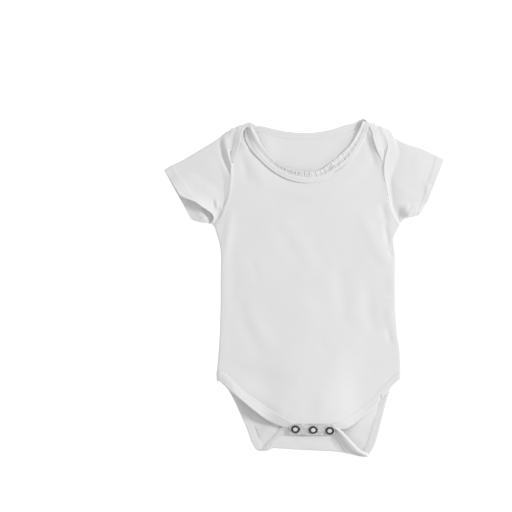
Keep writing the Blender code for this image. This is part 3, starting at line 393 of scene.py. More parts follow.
def spaced(points, count):
    """The same open polyline as count + 1 points at equal distances."""
    table = np.array(points, float)
    return [tuple(row) for row in resampled(table, table, count)]


def stepped(points, step):
    return spaced(points, max(round(length_of(points) / step), 1))


def smooth(rows, steps):
    return stepped(spline(rows, steps), EDGE_STEP)


def curve_at(points, t):
    place = clamp(t) * (len(points) - 1)
    i = min(int(place), len(points) - 2)
    return tuple(a + (b - a) * (place - i) for a, b in zip(points[i], points[i + 1]))


def along(table, value, column=0, result=1):
    """Straight-line look-up in a table by one column."""
    rows = sorted(table, key=lambda row: row[column])
    return np.interp(value, [row[column] for row in rows], [row[result] for row in rows])


def clamp(t):
    return min(max(t, 0), 1)


def ease(value, start=0, span=1):
    """0 as far as the start, 1 from a span beyond it, smooth between. A span may be negative."""
    t = np.clip((value - start) / span, 0, 1)
    return t * t * (3 - 2 * t)


def soft_min(a, b, k):
    return -k * np.logaddexp(-a / k, -b / k)


def outward(curve, gap):
    """The curve moved to its left by the gap."""
    moved = []
    for k, (x, y) in enumerate(curve):
        before, after = curve[max(k - 1, 0)], curve[min(k + 1, len(curve) - 1)]
        dx, dy = after[0] - before[0], after[1] - before[1]
        size = math.hypot(dx, dy)
        moved.append((x - dy / size * gap, y + dx / size * gap))
    return moved


def distance_to(curve, x, y):
    """Distance of each point from a polyline in plan."""
    best = np.full(np.shape(x), np.inf)
    for (ax, ay), (bx, by) in zip(curve, curve[1:]):
        dx, dy = bx - ax, by - ay
        size = dx ** 2 + dy ** 2
        if size:
            t = np.clip(((x - ax) * dx + (y - ay) * dy) / size, 0, 1)
            best = np.minimum(best, np.hypot(x - ax - t * dx, y - ay - t * dy))
    return best


def inside(outline, x, y):
    result = np.zeros(np.shape(x), bool)
    for (ax, ay), (bx, by) in zip(outline, outline[1:] + outline[:1]):
        if ay != by:
            result ^= ((ay > y) != (by > y)) & (x < ax + (y - ay) * (bx - ax) / (by - ay))
    return result


ARMHOLE_LEFT, ARMHOLE_RIGHT = smooth(LEFT_ARMHOLE, 8), smooth(RIGHT_ARMHOLE, 8)
SIDE_LEFT, SIDE_RIGHT = smooth(LEFT_SIDE, 4), smooth(RIGHT_SIDE, 4)
NECK_SEAM = stepped([row[2:4] for row in spline(FRONT_NECK, 8)], 2)


# ---------------------------------------------------------------- heights

def folds(rows, x, y):
    """Height of the listed folds: each fades out at both ends."""
    total = np.zeros(np.shape(x))
    for ax, ay, bx, by, bow, height, half_width in rows:
        dx, dy = bx - ax, by - ay
        size = math.hypot(dx, dy)
        t = np.clip(((x - ax) * dx + (y - ay) * dy) / size ** 2, 0, 1)
        across = ((y - ay) * dx - (x - ax) * dy) / size - 4 * bow * t * (1 - t)
        total = total + height * np.sin(math.pi * t) ** 0.7 * np.exp(-(across / half_width) ** 2)
    return total


def drape(x, y):
    """The slight unevenness of cloth that was smoothed by hand: waves that cross one another."""
    return (0.16 * np.sin(x / 11.3 + 1.7 * np.sin(y / 37)) * np.sin(y / 17.1 + 0.6)
            + 0.15 * np.sin((x + 0.6 * y) / 19.7 + 2.1) + 0.11 * np.sin((y - 0.4 * x) / 13.9 + 0.8)
            + 0.05 * np.sin((x - 1.3 * y) / 6.1) * np.sin((x + y) / 21.0)
            + 0.04 * np.sin((x + 2.3 * y) / 7.7 + 1.0) * np.sin((x - 0.7 * y) / 15.0))


def side_distance(x, y):
    left = along(LEFT_ARMHOLE + LEFT_SIDE[1:], y, 1, 0)
    right = along(RIGHT_ARMHOLE + RIGHT_SIDE[1:], y, 1, 0)
    return np.maximum(np.minimum(x - left, right - x), 0)


def tab_z(y):
    return RIDGE_Z - (RIDGE_Y - y) * TAB_SLOPE


def front_z(x, y):
    """Middle of the front panel, smooth."""
    armpit = ease(y, ARMPIT_Y, -ARMPIT_FADE)
    inner = 1 - EDGE_DROP * np.exp(-side_distance(x, y) / PUFF_REACH) * armpit
    chest = 1 - ease(y, CHEST_Y, CHEST_FADE)
    rise = ease(y, RISE_START_Y, RIDGE_Y - RISE_START_Y)
    across = ease(x - RISE_MIDDLE_X, -RISE_FADE / 2, RISE_FADE)
    least = LEFT_RISE + (RIGHT_RISE - LEFT_RISE) * across
    rise = rise * (least + (1 - least) * np.exp(-((x - RISE_MIDDLE_X) / RISE_REACH) ** 4))
    belly = FRONT_EDGE_Z + (UPPER_PUFF + (FRONT_PUFF - UPPER_PUFF) * chest) * inner
    belly = belly + RISE_HEIGHT * rise * (0.3 + 0.7 * inner)
    belly = belly + folds(FRONT_FOLDS, x, y) * inner
    return soft_min(belly, tab_z(y), RIDGE_ROUNDING)


def tab_puckers(x, y):
    """The tab's cloth drawn up round each snap."""
    total = np.zeros(np.shape(x))
    for number, (sx, sy, _) in enumerate(SNAPS):
        r, angle = np.hypot(x - sx, y - sy), np.arctan2(y - sy, x - sx)
        ring = np.exp(-((r - PUCKER_R) / PUCKER_WIDTH) ** 2)
        total = total + ring * (0.34 * np.cos(5 * angle + 1.3 * number)
                                + 0.22 * np.cos(9 * angle + 2.1 * number) - 0.2)
    return total * ease(y, RIDGE_Y - 0.5, -3)


def front_detail_z(x, y):
    """The front panel with its seam lines, side edges and unevenness."""
    away = side_distance(x, y)
    calm = drape(x, y) * ease(away / CALM_SIDE) * ease(y - RIDGE_Y, 2, CALM_RIDGE)
    z = front_z(x, y) + calm
    over = np.maximum(z - SIDE_EDGE_Z, 0) * np.clip(1 - away / EDGE_ROLL, 0, 1)
    z = z - over * ease(y, SIDE_EDGE_TOP_Y, -SIDE_EDGE_FADE)
    for curve, column in ((ARMHOLE_LEFT, 1), (ARMHOLE_RIGHT, 2)):
        z = z + along(SEAM_RISE, y, 0, column) * np.exp(-distance_to(curve, x, y) / SEAM_SPREAD)
    gap = distance_to(NECK_SEAM, x, y)
    dip = NECK_DIP * ease(x, NECK_DIP_END_X, -NECK_DIP_FADE)
    z = z - dip * np.exp(-(gap / NECK_DIP_WIDTH) ** 2)
    z = z + NECK_SWELL * np.exp(-((gap - NECK_SWELL_AT) / NECK_SWELL_WIDTH) ** 2)
    return z + tab_puckers(x, y)


def extension_z(y):
    return -soft_min(-EXTENSION_Z, TAB_LAYER_DROP - tab_z(y), 0.3)


def lap_z(y):
    return LAP_END_Z + (LAP_Z - LAP_END_Z) * ease(y, LAP_LOW_Y, LAP_LENGTH)


class Fold:
    """A fold line of the back panel. Past it the cloth turns over and comes back above itself."""

    def __init__(self, line, side, high_z):
        self.line, self.side = line, side
        self.radius = (high_z - BACK_Z) / 2
        self.inset = self.radius + JERSEY / 2
        self.arc = math.pi * self.radius

    def start(self, x):
        return float(along(self.line, x)) - self.side * self.inset

    def unfold(self, x, y):
        start = self.start(x)
        return start + self.side * (self.arc + self.side * (start - y))

    def place(self, x, v):
        """Height of a point of the unfolded cloth, where it lies, and whether it is turned over."""
        past = (v - self.start(x)) * self.side
        if past <= 0:
            return v, BACK_Z, False
        if past < self.arc:
            angle = past / self.radius
            return (self.start(x) + self.side * self.radius * math.sin(angle),
                    BACK_Z + self.radius * (1 - math.cos(angle)), False)
        return self.start(x) - self.side * (past - self.arc), BACK_Z + 2 * self.radius, True

    def rows(self, x_from, x_to, step, parts):
        """Points of the unfolded cloth round the bend."""
        count = max(int((x_to - x_from) / step), 2)
        return [(x, self.start(x) + self.side * self.arc * part / parts)
                for x in (x_from + (x_to - x_from) * k / count for k in range(1, count))
                for part in range(parts + 1)]


BOTTOM = Fold(BOTTOM_FOLD, -1, EXTENSION_Z)


def shoulder(x):
    return Fold(LEFT_SHOULDER if x < 0 else RIGHT_SHOULDER, 1, LAP_Z)


def place_back(x, v):
    """Where a point of the unfolded back panel lies."""
    if v <= LAP_FROM_Y:
        y, z, turned = BOTTOM.place(x, v)
        return Vector((x, y, float(extension_z(y)) if turned else z))
    y, z, turned = shoulder(x).place(x, v)
    if turned:
        right = int(x >= 0)
        seam = float(along((LEFT_ARMHOLE, RIGHT_ARMHOLE)[right], y, 1, 0))
        share = min(max((x - seam) / (LAP_EDGE_X[right] - seam), 0), 1.3)
        z = float(lap_z(y)) + float(along(LAP_CURL, y, 0, 1 + right)) * share * share
    return Vector((x, y, z))


# ---------------------------------------------------------------- pieces

def make_piece(name, points, faces, edges=()):
    """A smooth object in metres from points in millimetres."""
    mesh = bpy.data.meshes.new(name)
    mesh.from_pydata([(p[0] * MM, p[1] * MM, p[2] * MM) for p in points], edges, faces)
    mesh.shade_smooth()
    piece = bpy.data.objects.new(name, mesh)
    bpy.context.scene.collection.objects.link(piece)
    return piece


def cloth_piece(name, points, faces, knit):
    """A piece with the cloth's own flat coordinates as a UV map."""
    piece = make_piece(name, points, faces)
    layer = piece.data.uv_layers.new(name="knit")
    flat = np.array(knit, float)[[loop.vertex_index for loop in piece.data.loops]] / KNIT_UNIT
    layer.data.foreach_set("uv", flat.astype(np.float32).ravel())
    return piece


def thicken(piece, wall, weights=None):
    """Give an open surface its wall, and leave it a plain closed mesh."""
    solid = piece.modifiers.new("wall", "SOLIDIFY")
    solid.thickness = wall * MM
    solid.offset = 0
    if weights is not None:
        group = piece.vertex_groups.new(name="wall")
        for index, weight in enumerate(weights):
            group.add([index], float(weight), "REPLACE")
        solid.vertex_group = group.name
    settle(piece)


def settle(piece):
    """Turn a piece with its modifiers into a plain mesh."""
    graph = bpy.context.evaluated_depsgraph_get()
    graph.update()
    mesh = bpy.data.meshes.new_from_object(piece.evaluated_get(graph))
    for vertex in mesh.vertices:
        vertex.co.z = max(vertex.co.z, 0.0)
    old = piece.data
    piece.modifiers.clear()
    piece.vertex_groups.clear()
    piece.data = mesh
    mesh.name = piece.name
    bpy.data.meshes.remove(old)


def recalculated(piece):
    """Faces of a closed loft turned to point outwards."""
    shape = bmesh.new()
    shape.from_mesh(piece.data)
    bmesh.ops.recalc_face_normals(shape, faces=shape.faces[:])
    shape.to_mesh(piece.data)
    shape.free()
    return piece


def tube_faces(stations, size, flip=False, caps=True):
    """Faces of a tube through rings of points."""
    faces = [(k * size + i, k * size + (i + 1) % size,
              (k + 1) * size + (i + 1) % size, (k + 1) * size + i)
             for k in range(stations - 1) for i in range(size)]
    if caps:
        faces += [tuple(range(size))[::-1], tuple(range((stations - 1) * size, stations * size))]
    return [face[::-1] for face in faces] if flip else faces


def fill(outline, spacing, extra, bare):
    """Triangles inside a flat outline: on a lattice of points, outside its bare part, and on
    some extra ones."""
    def within(x, y, gap):
        return inside(outline, x, y) & (distance_to(outline + outline[:1], x, y) > gap)
    low, high = np.array(outline).min(axis=0), np.array(outline).max(axis=0)
    row = spacing * math.sqrt(3) / 2
    lattice = [(x + spacing * 0.5 * (j % 2), y)
               for j, y in enumerate(np.arange(low[1] + row / 2, high[1], row))
               for x in np.arange(low[0], high[0], spacing)]
    (x, y), (fine_x, fine_y) = np.array(lattice).T, np.array(extra).T
    keep = within(x, y, spacing * 0.5) & ~bare(x, y)
    fine = within(fine_x, fine_y, FINE_GAP)
    points = [*outline, *zip(fine_x[fine], fine_y[fine]), *zip(x[keep], y[keep])]
    edges = [(k, (k + 1) % len(outline)) for k in range(len(outline))]
    points, _, faces, _, _, _ = geometry.delaunay_2d_cdt(
        [Vector(p) for p in points], edges, [], 1, 1e-5)
    return [tuple(p) for p in points], faces


def without_repeats(outline):
    result = []
    for point in outline:
        if not result or math.dist(point, result[-1]) > LEAST_STEP:
            result.append(tuple(point))
    return result


def upward(points, faces):
    """Faces wound so that most of them look up."""
    a, b, c = (np.array([points[f[k]] for f in faces])[:, :2] for k in range(3))
    turn = (b - a)[:, 0] * (c - a)[:, 1] - (b - a)[:, 1] * (c - a)[:, 0]
    return faces if turn.sum() > 0 else [tuple(reversed(f)) for f in faces]


def cut_of(outline):
    """Width, length and area of a flat cut, in metres."""
    x, y = np.array(outline).T
    area = abs(np.dot(x, np.roll(y, -1)) - np.dot(y, np.roll(x, -1))) / 2
    return float(np.ptp(x)) * MM, float(np.ptp(y)) * MM, float(area) * MM * MM


# ---------------------------------------------------------------- panels

def under(row, columns=(0, 1, 2, 3)):
    """Where a panel ends under its binding."""
    edge_x, edge_y, seam_x, seam_y = (row[c] for c in columns)
    return (seam_x + (edge_x - seam_x) * UNDER_BINDING, seam_y + (edge_y - seam_y) * UNDER_BINDING)


def bound_edge(rows, steps):
    return stepped([under(row) for row in spline(rows, steps)], EDGE_STEP)


def front_panel():
    left = [p for p in ARMHOLE_LEFT if p[1] < LAP_SEAM_TOP_Y]
    right = [p for p in ARMHOLE_RIGHT if p[1] < LAP_SEAM_TOP_Y + 2]
    outline = without_repeats([
        *left, *SIDE_LEFT[1:], *bound_edge(LEFT_LEG_FRONT, 6)[::-1],
        *stepped(TAB_OUTLINE, TAB_EDGE_STEP), *bound_edge(RIGHT_LEG_FRONT, 6),
        *SIDE_RIGHT[:0:-1], *right[::-1], *bound_edge(FRONT_NECK, 8)[::-1]])
    extra = [(x, y) for y in np.arange(*TAB_GRID_Y) for x in np.arange(*TAB_GRID_X)]
    for edge, side in ((SIDE_LEFT, 1), (SIDE_RIGHT, -1)):
        extra += [p for gap in EDGE_ROWS for p in outward(edge, side * gap)]
    points, faces = fill(outline, PANEL_STEP, extra, lambda x, y: y < TAB_TOP_Y)
    x, y = np.array(points).T
    placed = list(zip(x, y, front_detail_z(x, y)))
    piece = cloth_piece("front_cloth", placed, upward(placed, faces), points)
    thin = JERSEY / TAB_WALL
    thicken(piece, TAB_WALL, thin + (1 - thin) * ease(y, RIDGE_Y + 1, -2))
    return piece, cut_of(outline)


def armhole_unfolded(line):
    """An armhole on the unfolded back, from the end of its lap down to the armpit."""
    fold = shoulder(line[0][0])
    upper = [p for p in line if p[1] > LAP_SEAM_LOW_Y]
    lap = [p for p in upper if p[1] < fold.start(p[0])]
    bend = []
    for k in range(11):
        y = fold.start(lap[0][0]) + fold.radius * math.sin(math.pi * k / 10)
        x = float(along(upper, y, 1, 0)) * 0.996
        bend.append((x, fold.start(x) + fold.arc * k / 10))
    return [*((x, fold.unfold(x, y)) for x, y in reversed(lap)), *bend[::-1],
            *(p for p in line if p[1] < fold.start(p[0]) - 0.5)]


def neck_back_unfolded():
    result = []
    for edge_x, edge_y, seam_x, seam_y in BACK_NECK:
        if abs(edge_x) > LAP_FROM_X:
            fold = shoulder(edge_x)
            edge_y, seam_y = fold.unfold(edge_x, edge_y), fold.unfold(seam_x, seam_y)
        result.append((edge_x, edge_y, seam_x, seam_y))
    return result


def back_leg_edge(back_rows, extension_rows, tab_x):
    on_back = [under(row) for row in spline(back_rows, 6)]
    turned = []
    for row in spline(extension_rows, 6):
        x, y = under(row, (0, 1, 3, 4))
        turned.append((x, BOTTOM.unfold(x, y)))
    return stepped([*on_back, *turned[:-1], (tab_x, turned[-1][1])], EDGE_STEP)


def near_bends(x, y):
    """The parts of the unfolded back that turn over at its folds."""
    bottom = along(BOTTOM_FOLD, x) + BOTTOM.inset
    top = np.where(x < 0, along(LEFT_SHOULDER, x), along(RIGHT_SHOULDER, x)) - SHOULDER_INSET
    low = (y < bottom + BEND_MARGIN) & (y > bottom - BOTTOM.arc - BEND_MARGIN)
    high = (y > top - BEND_MARGIN) & (y < top + SHOULDER_ARC + BEND_MARGIN)
    return low | (high & (np.abs(x) > 60))


def back_panel():
    neck = [under(row) for row in spline(neck_back_unfolded(), 8)]
    neck = stepped([p for p in neck if p[1] <= shoulder(p[0]).unfold(p[0], LAP_BAND_LOW_Y)],
                   EDGE_STEP)
    halves, ends = [], []
    for armhole, side, leg_back, extension, tab_x, inset in (
            (ARMHOLE_LEFT, SIDE_LEFT, LEFT_LEG_BACK, LEFT_LEG_EXTENSION, TAB_LEFT_X, TAB_INSET),
            (ARMHOLE_RIGHT, SIDE_RIGHT, RIGHT_LEG_BACK, RIGHT_LEG_EXTENSION, TAB_RIGHT_X,
             -TAB_INSET)):
        halves.append([*armhole_unfolded(armhole), *side[1:],
                       *back_leg_edge(leg_back, extension, tab_x + inset)])
        ends.append((tab_x + inset, BOTTOM.unfold(tab_x, EXTENSION_END_Y)))
    outline = without_repeats([*halves[0], *stepped(ends, EDGE_STEP), *halves[1][::-1],
                               *neck[::-1]])
    extra = BOTTOM.rows(-60, 76, 1.8, 8)
    for low_x, high_x in ((-86, -62), (66, 92)):
        extra += shoulder(low_x).rows(low_x, high_x, 1.6, 10)
    points, faces = fill(outline, PANEL_STEP, extra, near_bends)
    x, y, z = np.array([place_back(x, v) for x, v in points]).T
    seat = (z < BACK_Z + 0.01) & (y < SEAT_TOP_Y)
    z = z + np.where(seat, np.maximum(folds(BACK_FOLDS, x, y), 0), 0)
    inside_neck = (z < BACK_Z + 0.01) & (y > NECK_RISE_LOW_Y)
    rise = folds(BACK_NECK_RISE, x, y) * ease(y, NECK_RISE_END_Y, -NECK_RISE_FADE)
    z = z + np.where(inside_neck, rise, 0)
    extension = (y < EXTENSION_TOP_Y) & (z > TURNED_Z)
    fade = ease(y, EXTENSION_LOW_Y, EXTENSION_FADE)
    z = z + np.where(extension, drape(x * 1.6, y * 1.6) * 1.2
                     + np.clip(folds(EXTENSION_FOLDS, x, y), -0.4, 2) * fade, 0)
    piece = cloth_piece("back_cloth", list(zip(x, y, z)), upward(points, faces), points)
    thicken(piece, JERSEY)
    return piece, cut_of(outline)


# ---------------------------------------------------------------- bindings

def band_frames(rails):
    """Seam point, across, up and width at each station of a pair of rails."""
    edge, seam = (np.array([pair[i] for pair in rails], float) for i in (0, 1))
    ahead = np.gradient((edge + seam) / 2, axis=0)
    ahead /= np.linalg.norm(ahead, axis=1, keepdims=True)
    across = edge - seam
    width = np.linalg.norm(across, axis=1)
    across = across / width[:, None]
    up = np.cross(ahead, across)
    up /= np.linalg.norm(up, axis=1, keepdims=True)
    return seam, across, up, width


def band(name, rails, profile, side, ripple=None, tuck=0.0, slim=None):
    """A folded binding lofted along its rails. side is +1 or -1, so that up points out. tuck sinks
    the seam side into the panel. slim gives the share of its thickness at a station."""
    seam, across, up, width = band_frames(rails)
    walked = distances(seam)
    section = [(1, *row) for row in profile] + [(-1, *row) for row in profile[::-1]]
    points, knit = [], []
    for k in range(len(rails)):
        for sign, share, half in section:
            lift = sign * half * (slim(k, share) if slim else 1)
            if ripple:
                lift += ripple(k, walked[k], share)
            sunk = np.array((0, 0, tuck * (1 - ease(share / TUCK_WIDTH))))
            points.append(seam[k] + across[k] * width[k] * share + up[k] * side * lift - sunk)
            knit.append((width[k] * share * sign, walked[k]))
    faces = tube_faces(len(rails), len(section), side > 0)
    return recalculated(cloth_piece(name, points, faces, knit))


def band_line(rails, profile, side, share, face=1):
    """A line on one face of a binding, at a share of its width."""
    seam, across, up, width = band_frames(rails)
    half = np.interp(share, *zip(*profile))
    shift = up * side * face * (half + THREAD_LIFT)
    return [tuple(p) for p in seam + across * (width * share)[:, None] + shift]


def even_rails(rails, step):
    table = np.array([(*edge, *seam) for edge, seam in rails])
    middle = (table[:, :3] + table[:, 3:]) / 2
    count = max(round(length_of(middle) / step), 2)
    return [(tuple(row[:3]), tuple(row[3:])) for row in resampled(table, middle, count)]


def back_neck_rails():
    raised = Vector((0, 0, BINDING_Z - BACK_Z))
    return even_rails([[tuple(place_back(*point) + raised) for point in (row[:2], row[2:])]
                       for row in spline(neck_back_unfolded(), 24)], 1.2)


def front_neck_rails():
    """Rails of the front neck binding, and the height of its gathers at each x."""
    rails, gathers = [], []
    for edge_x, edge_y, seam_x, seam_y, gathered, lift, sink in spline(FRONT_NECK, 30):
        seam_z = max(front_z(seam_x, seam_y) + 0.1 - sink, FRONT_NECK_MIN_Z - sink)
        edge_z = max(seam_z - 0.2 + lift, FRONT_NECK_MIN_Z)
        rails.append(((edge_x, edge_y, edge_z), (seam_x, seam_y, seam_z)))
        gathers.append((edge_x, gathered))
    return even_rails(rails, NECK_RAIL_STEP), gathers


def turn_over(low, high, outward_x, outward_y, parts):
    """Rail pairs round a fold, from a low pair to the pair above it."""
    result = []
    for k in range(1, parts):
        angle = math.pi * k / parts
        pair = []
        for a, b in zip(low, high):
            radius = (b[2] - a[2]) / 2
            pair.append((a[0] + (b[0] - a[0]) * k / parts + outward_x * radius * math.sin(angle),
                         a[1] + (b[1] - a[1]) * k / parts + outward_y * radius * math.sin(angle),
                         a[2] + radius * (1 - math.cos(angle))))
        result.append(tuple(pair))
    return result


def leg_rails(front_rows, back_rows, extension_rows, side):
    """Rails of a leg binding: over the front, round the hip, down the back, over the bottom fold
    and up the crotch extension to the tab."""
    front = []
    for edge_x, edge_y, seam_x, seam_y, drop in spline(front_rows, 10):
        edge_z = max(front_z(edge_x, edge_y) - drop, HIP_Z)
        seam_z = max(front_z(seam_x, seam_y) + LEG_SEAM_RISE[side], HIP_Z)
        front.append(((edge_x, edge_y, edge_z), (seam_x, seam_y, seam_z)))
    back = [((*row[:2], BINDING_Z), (*row[2:], BINDING_Z)) for row in spline(back_rows, 10)]
    extension = [(row[:3], row[3:]) for row in spline(extension_rows, 10)]
    hip = turn_over(back[0], front[-1], side, 0, TURN_PARTS)
    bottom = turn_over(back[-1], extension[0], 0, -1, TURN_PARTS)
    return even_rails(front + hip[::-1] + back + bottom + extension, RAIL_STEP)


def gather_ripple(rails, gathers):
    """Short uneven puckers across the inner half of the front neck binding."""
    rng = np.random.default_rng(11)
    at = np.cumsum(rng.uniform(0.25, 1.2, GATHER_COUNT) * GATHER_PITCH)
    depth = rng.uniform(0.35, 1.15, GATHER_COUNT) ** 1.4
    wide = rng.uniform(0.45, 0.8, GATHER_COUNT)
    slant = rng.uniform(-3.5, 3.5, GATHER_COUNT)
    first = rng.uniform(0.42, 0.62, GATHER_COUNT)         # where in the width each starts
    last = first + rng.uniform(0.2, 0.55, GATHER_COUNT)   # and ends
    xs, heights = zip(*gathers)

    def ripple(k, walked, share):
        edge_x = rails[k][0][0]
        hollow = -NECK_HOLLOW * ease(edge_x, NECK_HOLLOW_X, -NECK_HOLLOW_FADE)
        hollow = hollow * math.sin(2 * math.pi * share)
        if share < GATHERS_FROM:
            return hollow
        groove = ease(share, 0.5, 0.1) * (1 - ease(share, 0.8, 0.12))
        reach = ease((share - first) / 0.1 + 0.5) * (1 - ease(share, last, 0.12))
        marks = np.exp(-((walked - at + slant * (share - 0.7)) / wide) ** 2)
        strength = np.interp(edge_x, xs, heights)
        return hollow - strength * (0.5 * groove + np.sum(depth * marks * reach))
    return ripple


def bottom_station(rails):
    return min(range(len(rails)), key=lambda n: rails[n][0][1])


def arch_ripple(rails, nicks):
    """The roll of the right leg's binding, and small nicks where it is pinched."""
    seam = [pair[1] for pair in rails]
    lowest = bottom_station(rails)
    places = []
    for x, y, depth, half_width in nicks:
        k = min(range(len(seam)), key=lambda n: math.dist(rails[n][0][:2], (x, y)))
        places.append((length_of(seam[:k + 1]), depth, half_width))

    def ripple(k, walked, share):
        nick = sum(depth * math.exp(-((walked - at + 3 * (share - 0.5)) / wide) ** 2)
                   for at, depth, wide in places) * ease(share, 0.45, 0.3)
        over = ease(rails[k][0][2], ARCH_Z, ARCH_FADE) if k > lowest else 0
        wave = math.sin(2.5 * math.pi * max(share - 0.2, 0))      # one, over the outer 0.8
        return -ARCH_ROLL * over * wave - nick
    return ripple


def pressed_flat(rails):
    """Where the left leg's binding crosses the crotch extension its edge is pressed flat."""
    lowest = bottom_station(rails)

    def slim(k, share):
        reached = ease(k, lowest, 4) * (1 - ease(rails[k][0][2], PRESSED_Z, PRESSED_FADE))
        return 1 - PRESSED * reached * ease(share, 0.45, 0.5)
    return slim


# ---------------------------------------------------------------- sleeves

def coons(seam, cuff, top, low, s, t):
    """Plan point of a sleeve layer: s from armhole to cuff, t from the top to the underarm."""
    a, c, p, q = curve_at(seam, t), curve_at(cuff, t), curve_at(top, s), curve_at(low, s)
    corners = ((1 - s) * (1 - t), s * (1 - t), (1 - s) * t, s * t)
    ends = (seam[0], cuff[0], seam[-1], cuff[-1])
    return tuple((1 - s) * a[i] + s * c[i] + (1 - t) * p[i] + t * q[i]
                 - sum(w * e[i] for w, e in zip(corners, ends)) for i in (0, 1))


def sleeve_front_z(s, t, reach, form):
    """Middle of a sleeve's front layer."""
    seam, fall = along(form["seam"], t), along(form["fall"], t)
    out = s * reach
    swell = math.sin(math.pi / 2 * clamp((out - fall) / SWELL_LENGTH))
    body = form["low"] + form["puff"] * swell * math.sin(math.pi * t)
    open_cuff = math.sin(math.pi * clamp((t - LIFT_FROM) / LIFT_SPAN))
    raised = form["lift"] * max(s, 0) ** 3 * open_cuff
    edge = min(max(1 - t, 0) / ROLL_WIDTH, 1)
    rolled = form["roll"] * (0.75 * edge + 0.25 * math.sqrt(edge * (2 - edge)))
    rolled = rolled * (1 - ease(t, 0.93, -0.18))
    rolled = rolled * ease(s, 0.22, 0.34) * (1 - 0.22 * ease(s, 0.62, 0.38))
    near = max(1 - out / fall, 0)
    return body + (seam - body) * (0.85 * near + 0.15 * near ** 6) + raised + rolled


def sleeve(name, armhole, top, under_rows, cuff_front, cuff_back, side, form, rows,
           inside_rows=()):
    """A flattened tube: its back layer lies on the surface and its front layer over that. Comes
    with the stitch line of its hem and the size of its cut."""
    seam = spaced(outward(armhole, -side * 0.2), 90)
    top, under_rows = (seam[0], *top[1:]), (seam[-1], *under_rows[1:])
    top, low, cuff_front, cuff_back = (
        spaced(spline(curve, 8), 90) for curve in (top, under_rows, cuff_front, cuff_back))

    def at(cuff, s, t):
        return coons(seam, cuff, top, low, s, t)
    reach = length_of(top)
    hem_start = 1 - HEM_WIDTH / reach
    shares = [hem_start * k / SLEEVE_STATIONS for k in range(SLEEVE_STATIONS + 1)]
    shares += [hem_start + (1 - hem_start) * k for k in HEM_SHARES]
    points, weights, knit, girths = [], [], [], []
    for s in shares:
        wall = SLEEVE_HEM if s > hem_start + 1e-6 else JERSEY
        low_z = wall / 2
        section = math.dist(at(cuff_back, s, 0), at(cuff_back, s, 1))
        ends = []
        for edge_t, inward in ((1.0, -1), (0.0, 1)):
            high_z = sleeve_front_z(s, edge_t, reach, form) + low_z - JERSEY / 2
            radius = (high_z - low_z) / 2
            near = edge_t + inward * ((radius + wall / 2) / section)
            back, front = at(cuff_back, s, near), at(cuff_front, s, near)
            rim = at(cuff_back, s, edge_t)
            out = Vector((rim[0] - back[0], rim[1] - back[1]))
            out = out.normalized() if out.length > 1e-6 else Vector((0, -1))
            arc = turn_over(((*back, low_z),), ((*front, high_z),), out.x, out.y, SLEEVE_BEND)
            ends.append((near, [p[0] for p in arc]))
        (last_t, under_arc), (first_t, top_arc) = ends
        layer = [first_t + (last_t - first_t) * k / (SLEEVE_ACROSS - 1)
                 for k in range(SLEEVE_ACROSS)]
        loop = []
        for t in reversed(layer):
            x, y = at(cuff_back, s, t)
            fade = ease(s, 0.55, 0.2) * ease(t, 0.995, -0.06)
            loop.append((x, y, low_z + folds(inside_rows, x, y) * fade))
        loop += top_arc
        for t in layer:
            x, y = at(cuff_front, s, t)
            z = sleeve_front_z(s, t, reach, form) + low_z - JERSEY / 2
            fade = math.sin(math.pi * clamp(t)) ** 0.6
            z += (folds(rows, x, y) + drape(x * SLEEVE_DRAPE, y * SLEEVE_DRAPE)) * fade
            loop.append((x, y, max(z, low_z + JERSEY + LAYER_GAP)))
        loop += under_arc[::-1]
        points += loop
        full, single = wall / SLEEVE_HEM, JERSEY / SLEEVE_HEM
        hem = [full if t < 0.9 else single for t in layer]
        weights += [*hem[::-1], *[full] * len(top_arc), *hem, *[single] * len(under_arc)]
        girths.append(length_of(loop + loop[:1]))
        knit += [(i * girths[-1] / len(loop), s * reach) for i in range(len(loop))]
    size = len(points) // len(shares)
    piece = cloth_piece(name, points, tube_faces(len(shares), size, side > 0, caps=False), knit)
    thicken(piece, SLEEVE_HEM, weights)
    first = (SLEEVE_STATIONS + 1 + HEM_STITCH) * size + SLEEVE_ACROSS + SLEEVE_BEND - 1
    line = [tuple(np.array(p) + (0, 0, SLEEVE_HEM / 2))
            for p in points[first:first + SLEEVE_ACROSS]]
    lengths = [length_of(points[i::size]) for i in range(size)]
    area = sum(lengths) / size * sum(girths) / len(girths)
    return piece, line, (max(girths) * MM, max(lengths) * MM, area * MM * MM)


# ---------------------------------------------------------------- seams between pieces

def armhole_seam(name, line, side, form):
    """The seam allowance under the armhole, a raised cord of cloth along it."""
    pairs = []
    body, arm = outward(line, side * CORD_HALF_WIDTH), outward(line, -side * CORD_HALF_WIDTH)
    for number, ((_, y), inner, outer) in enumerate(zip(line, body, arm)):
        arm_z = sleeve_front_z(CORD_HALF_WIDTH / 90, number / (len(line) - 1), 90, form) - 0.1
        body_z = front_detail_z(*np.array(inner)[:, None])[0]
        if y > LAP_SEAM_LOW_Y:
            body_z = max(body_z, lap_z(y))
        pairs.append(((*inner, body_z + CORD_RISE), (*outer, arm_z + CORD_RISE)))
    if side < 0:
        pairs = [(outer, inner) for inner, outer in pairs]
    return band(name, even_rails(pairs, 1.4), ARMHOLE_PROFILE, 1)


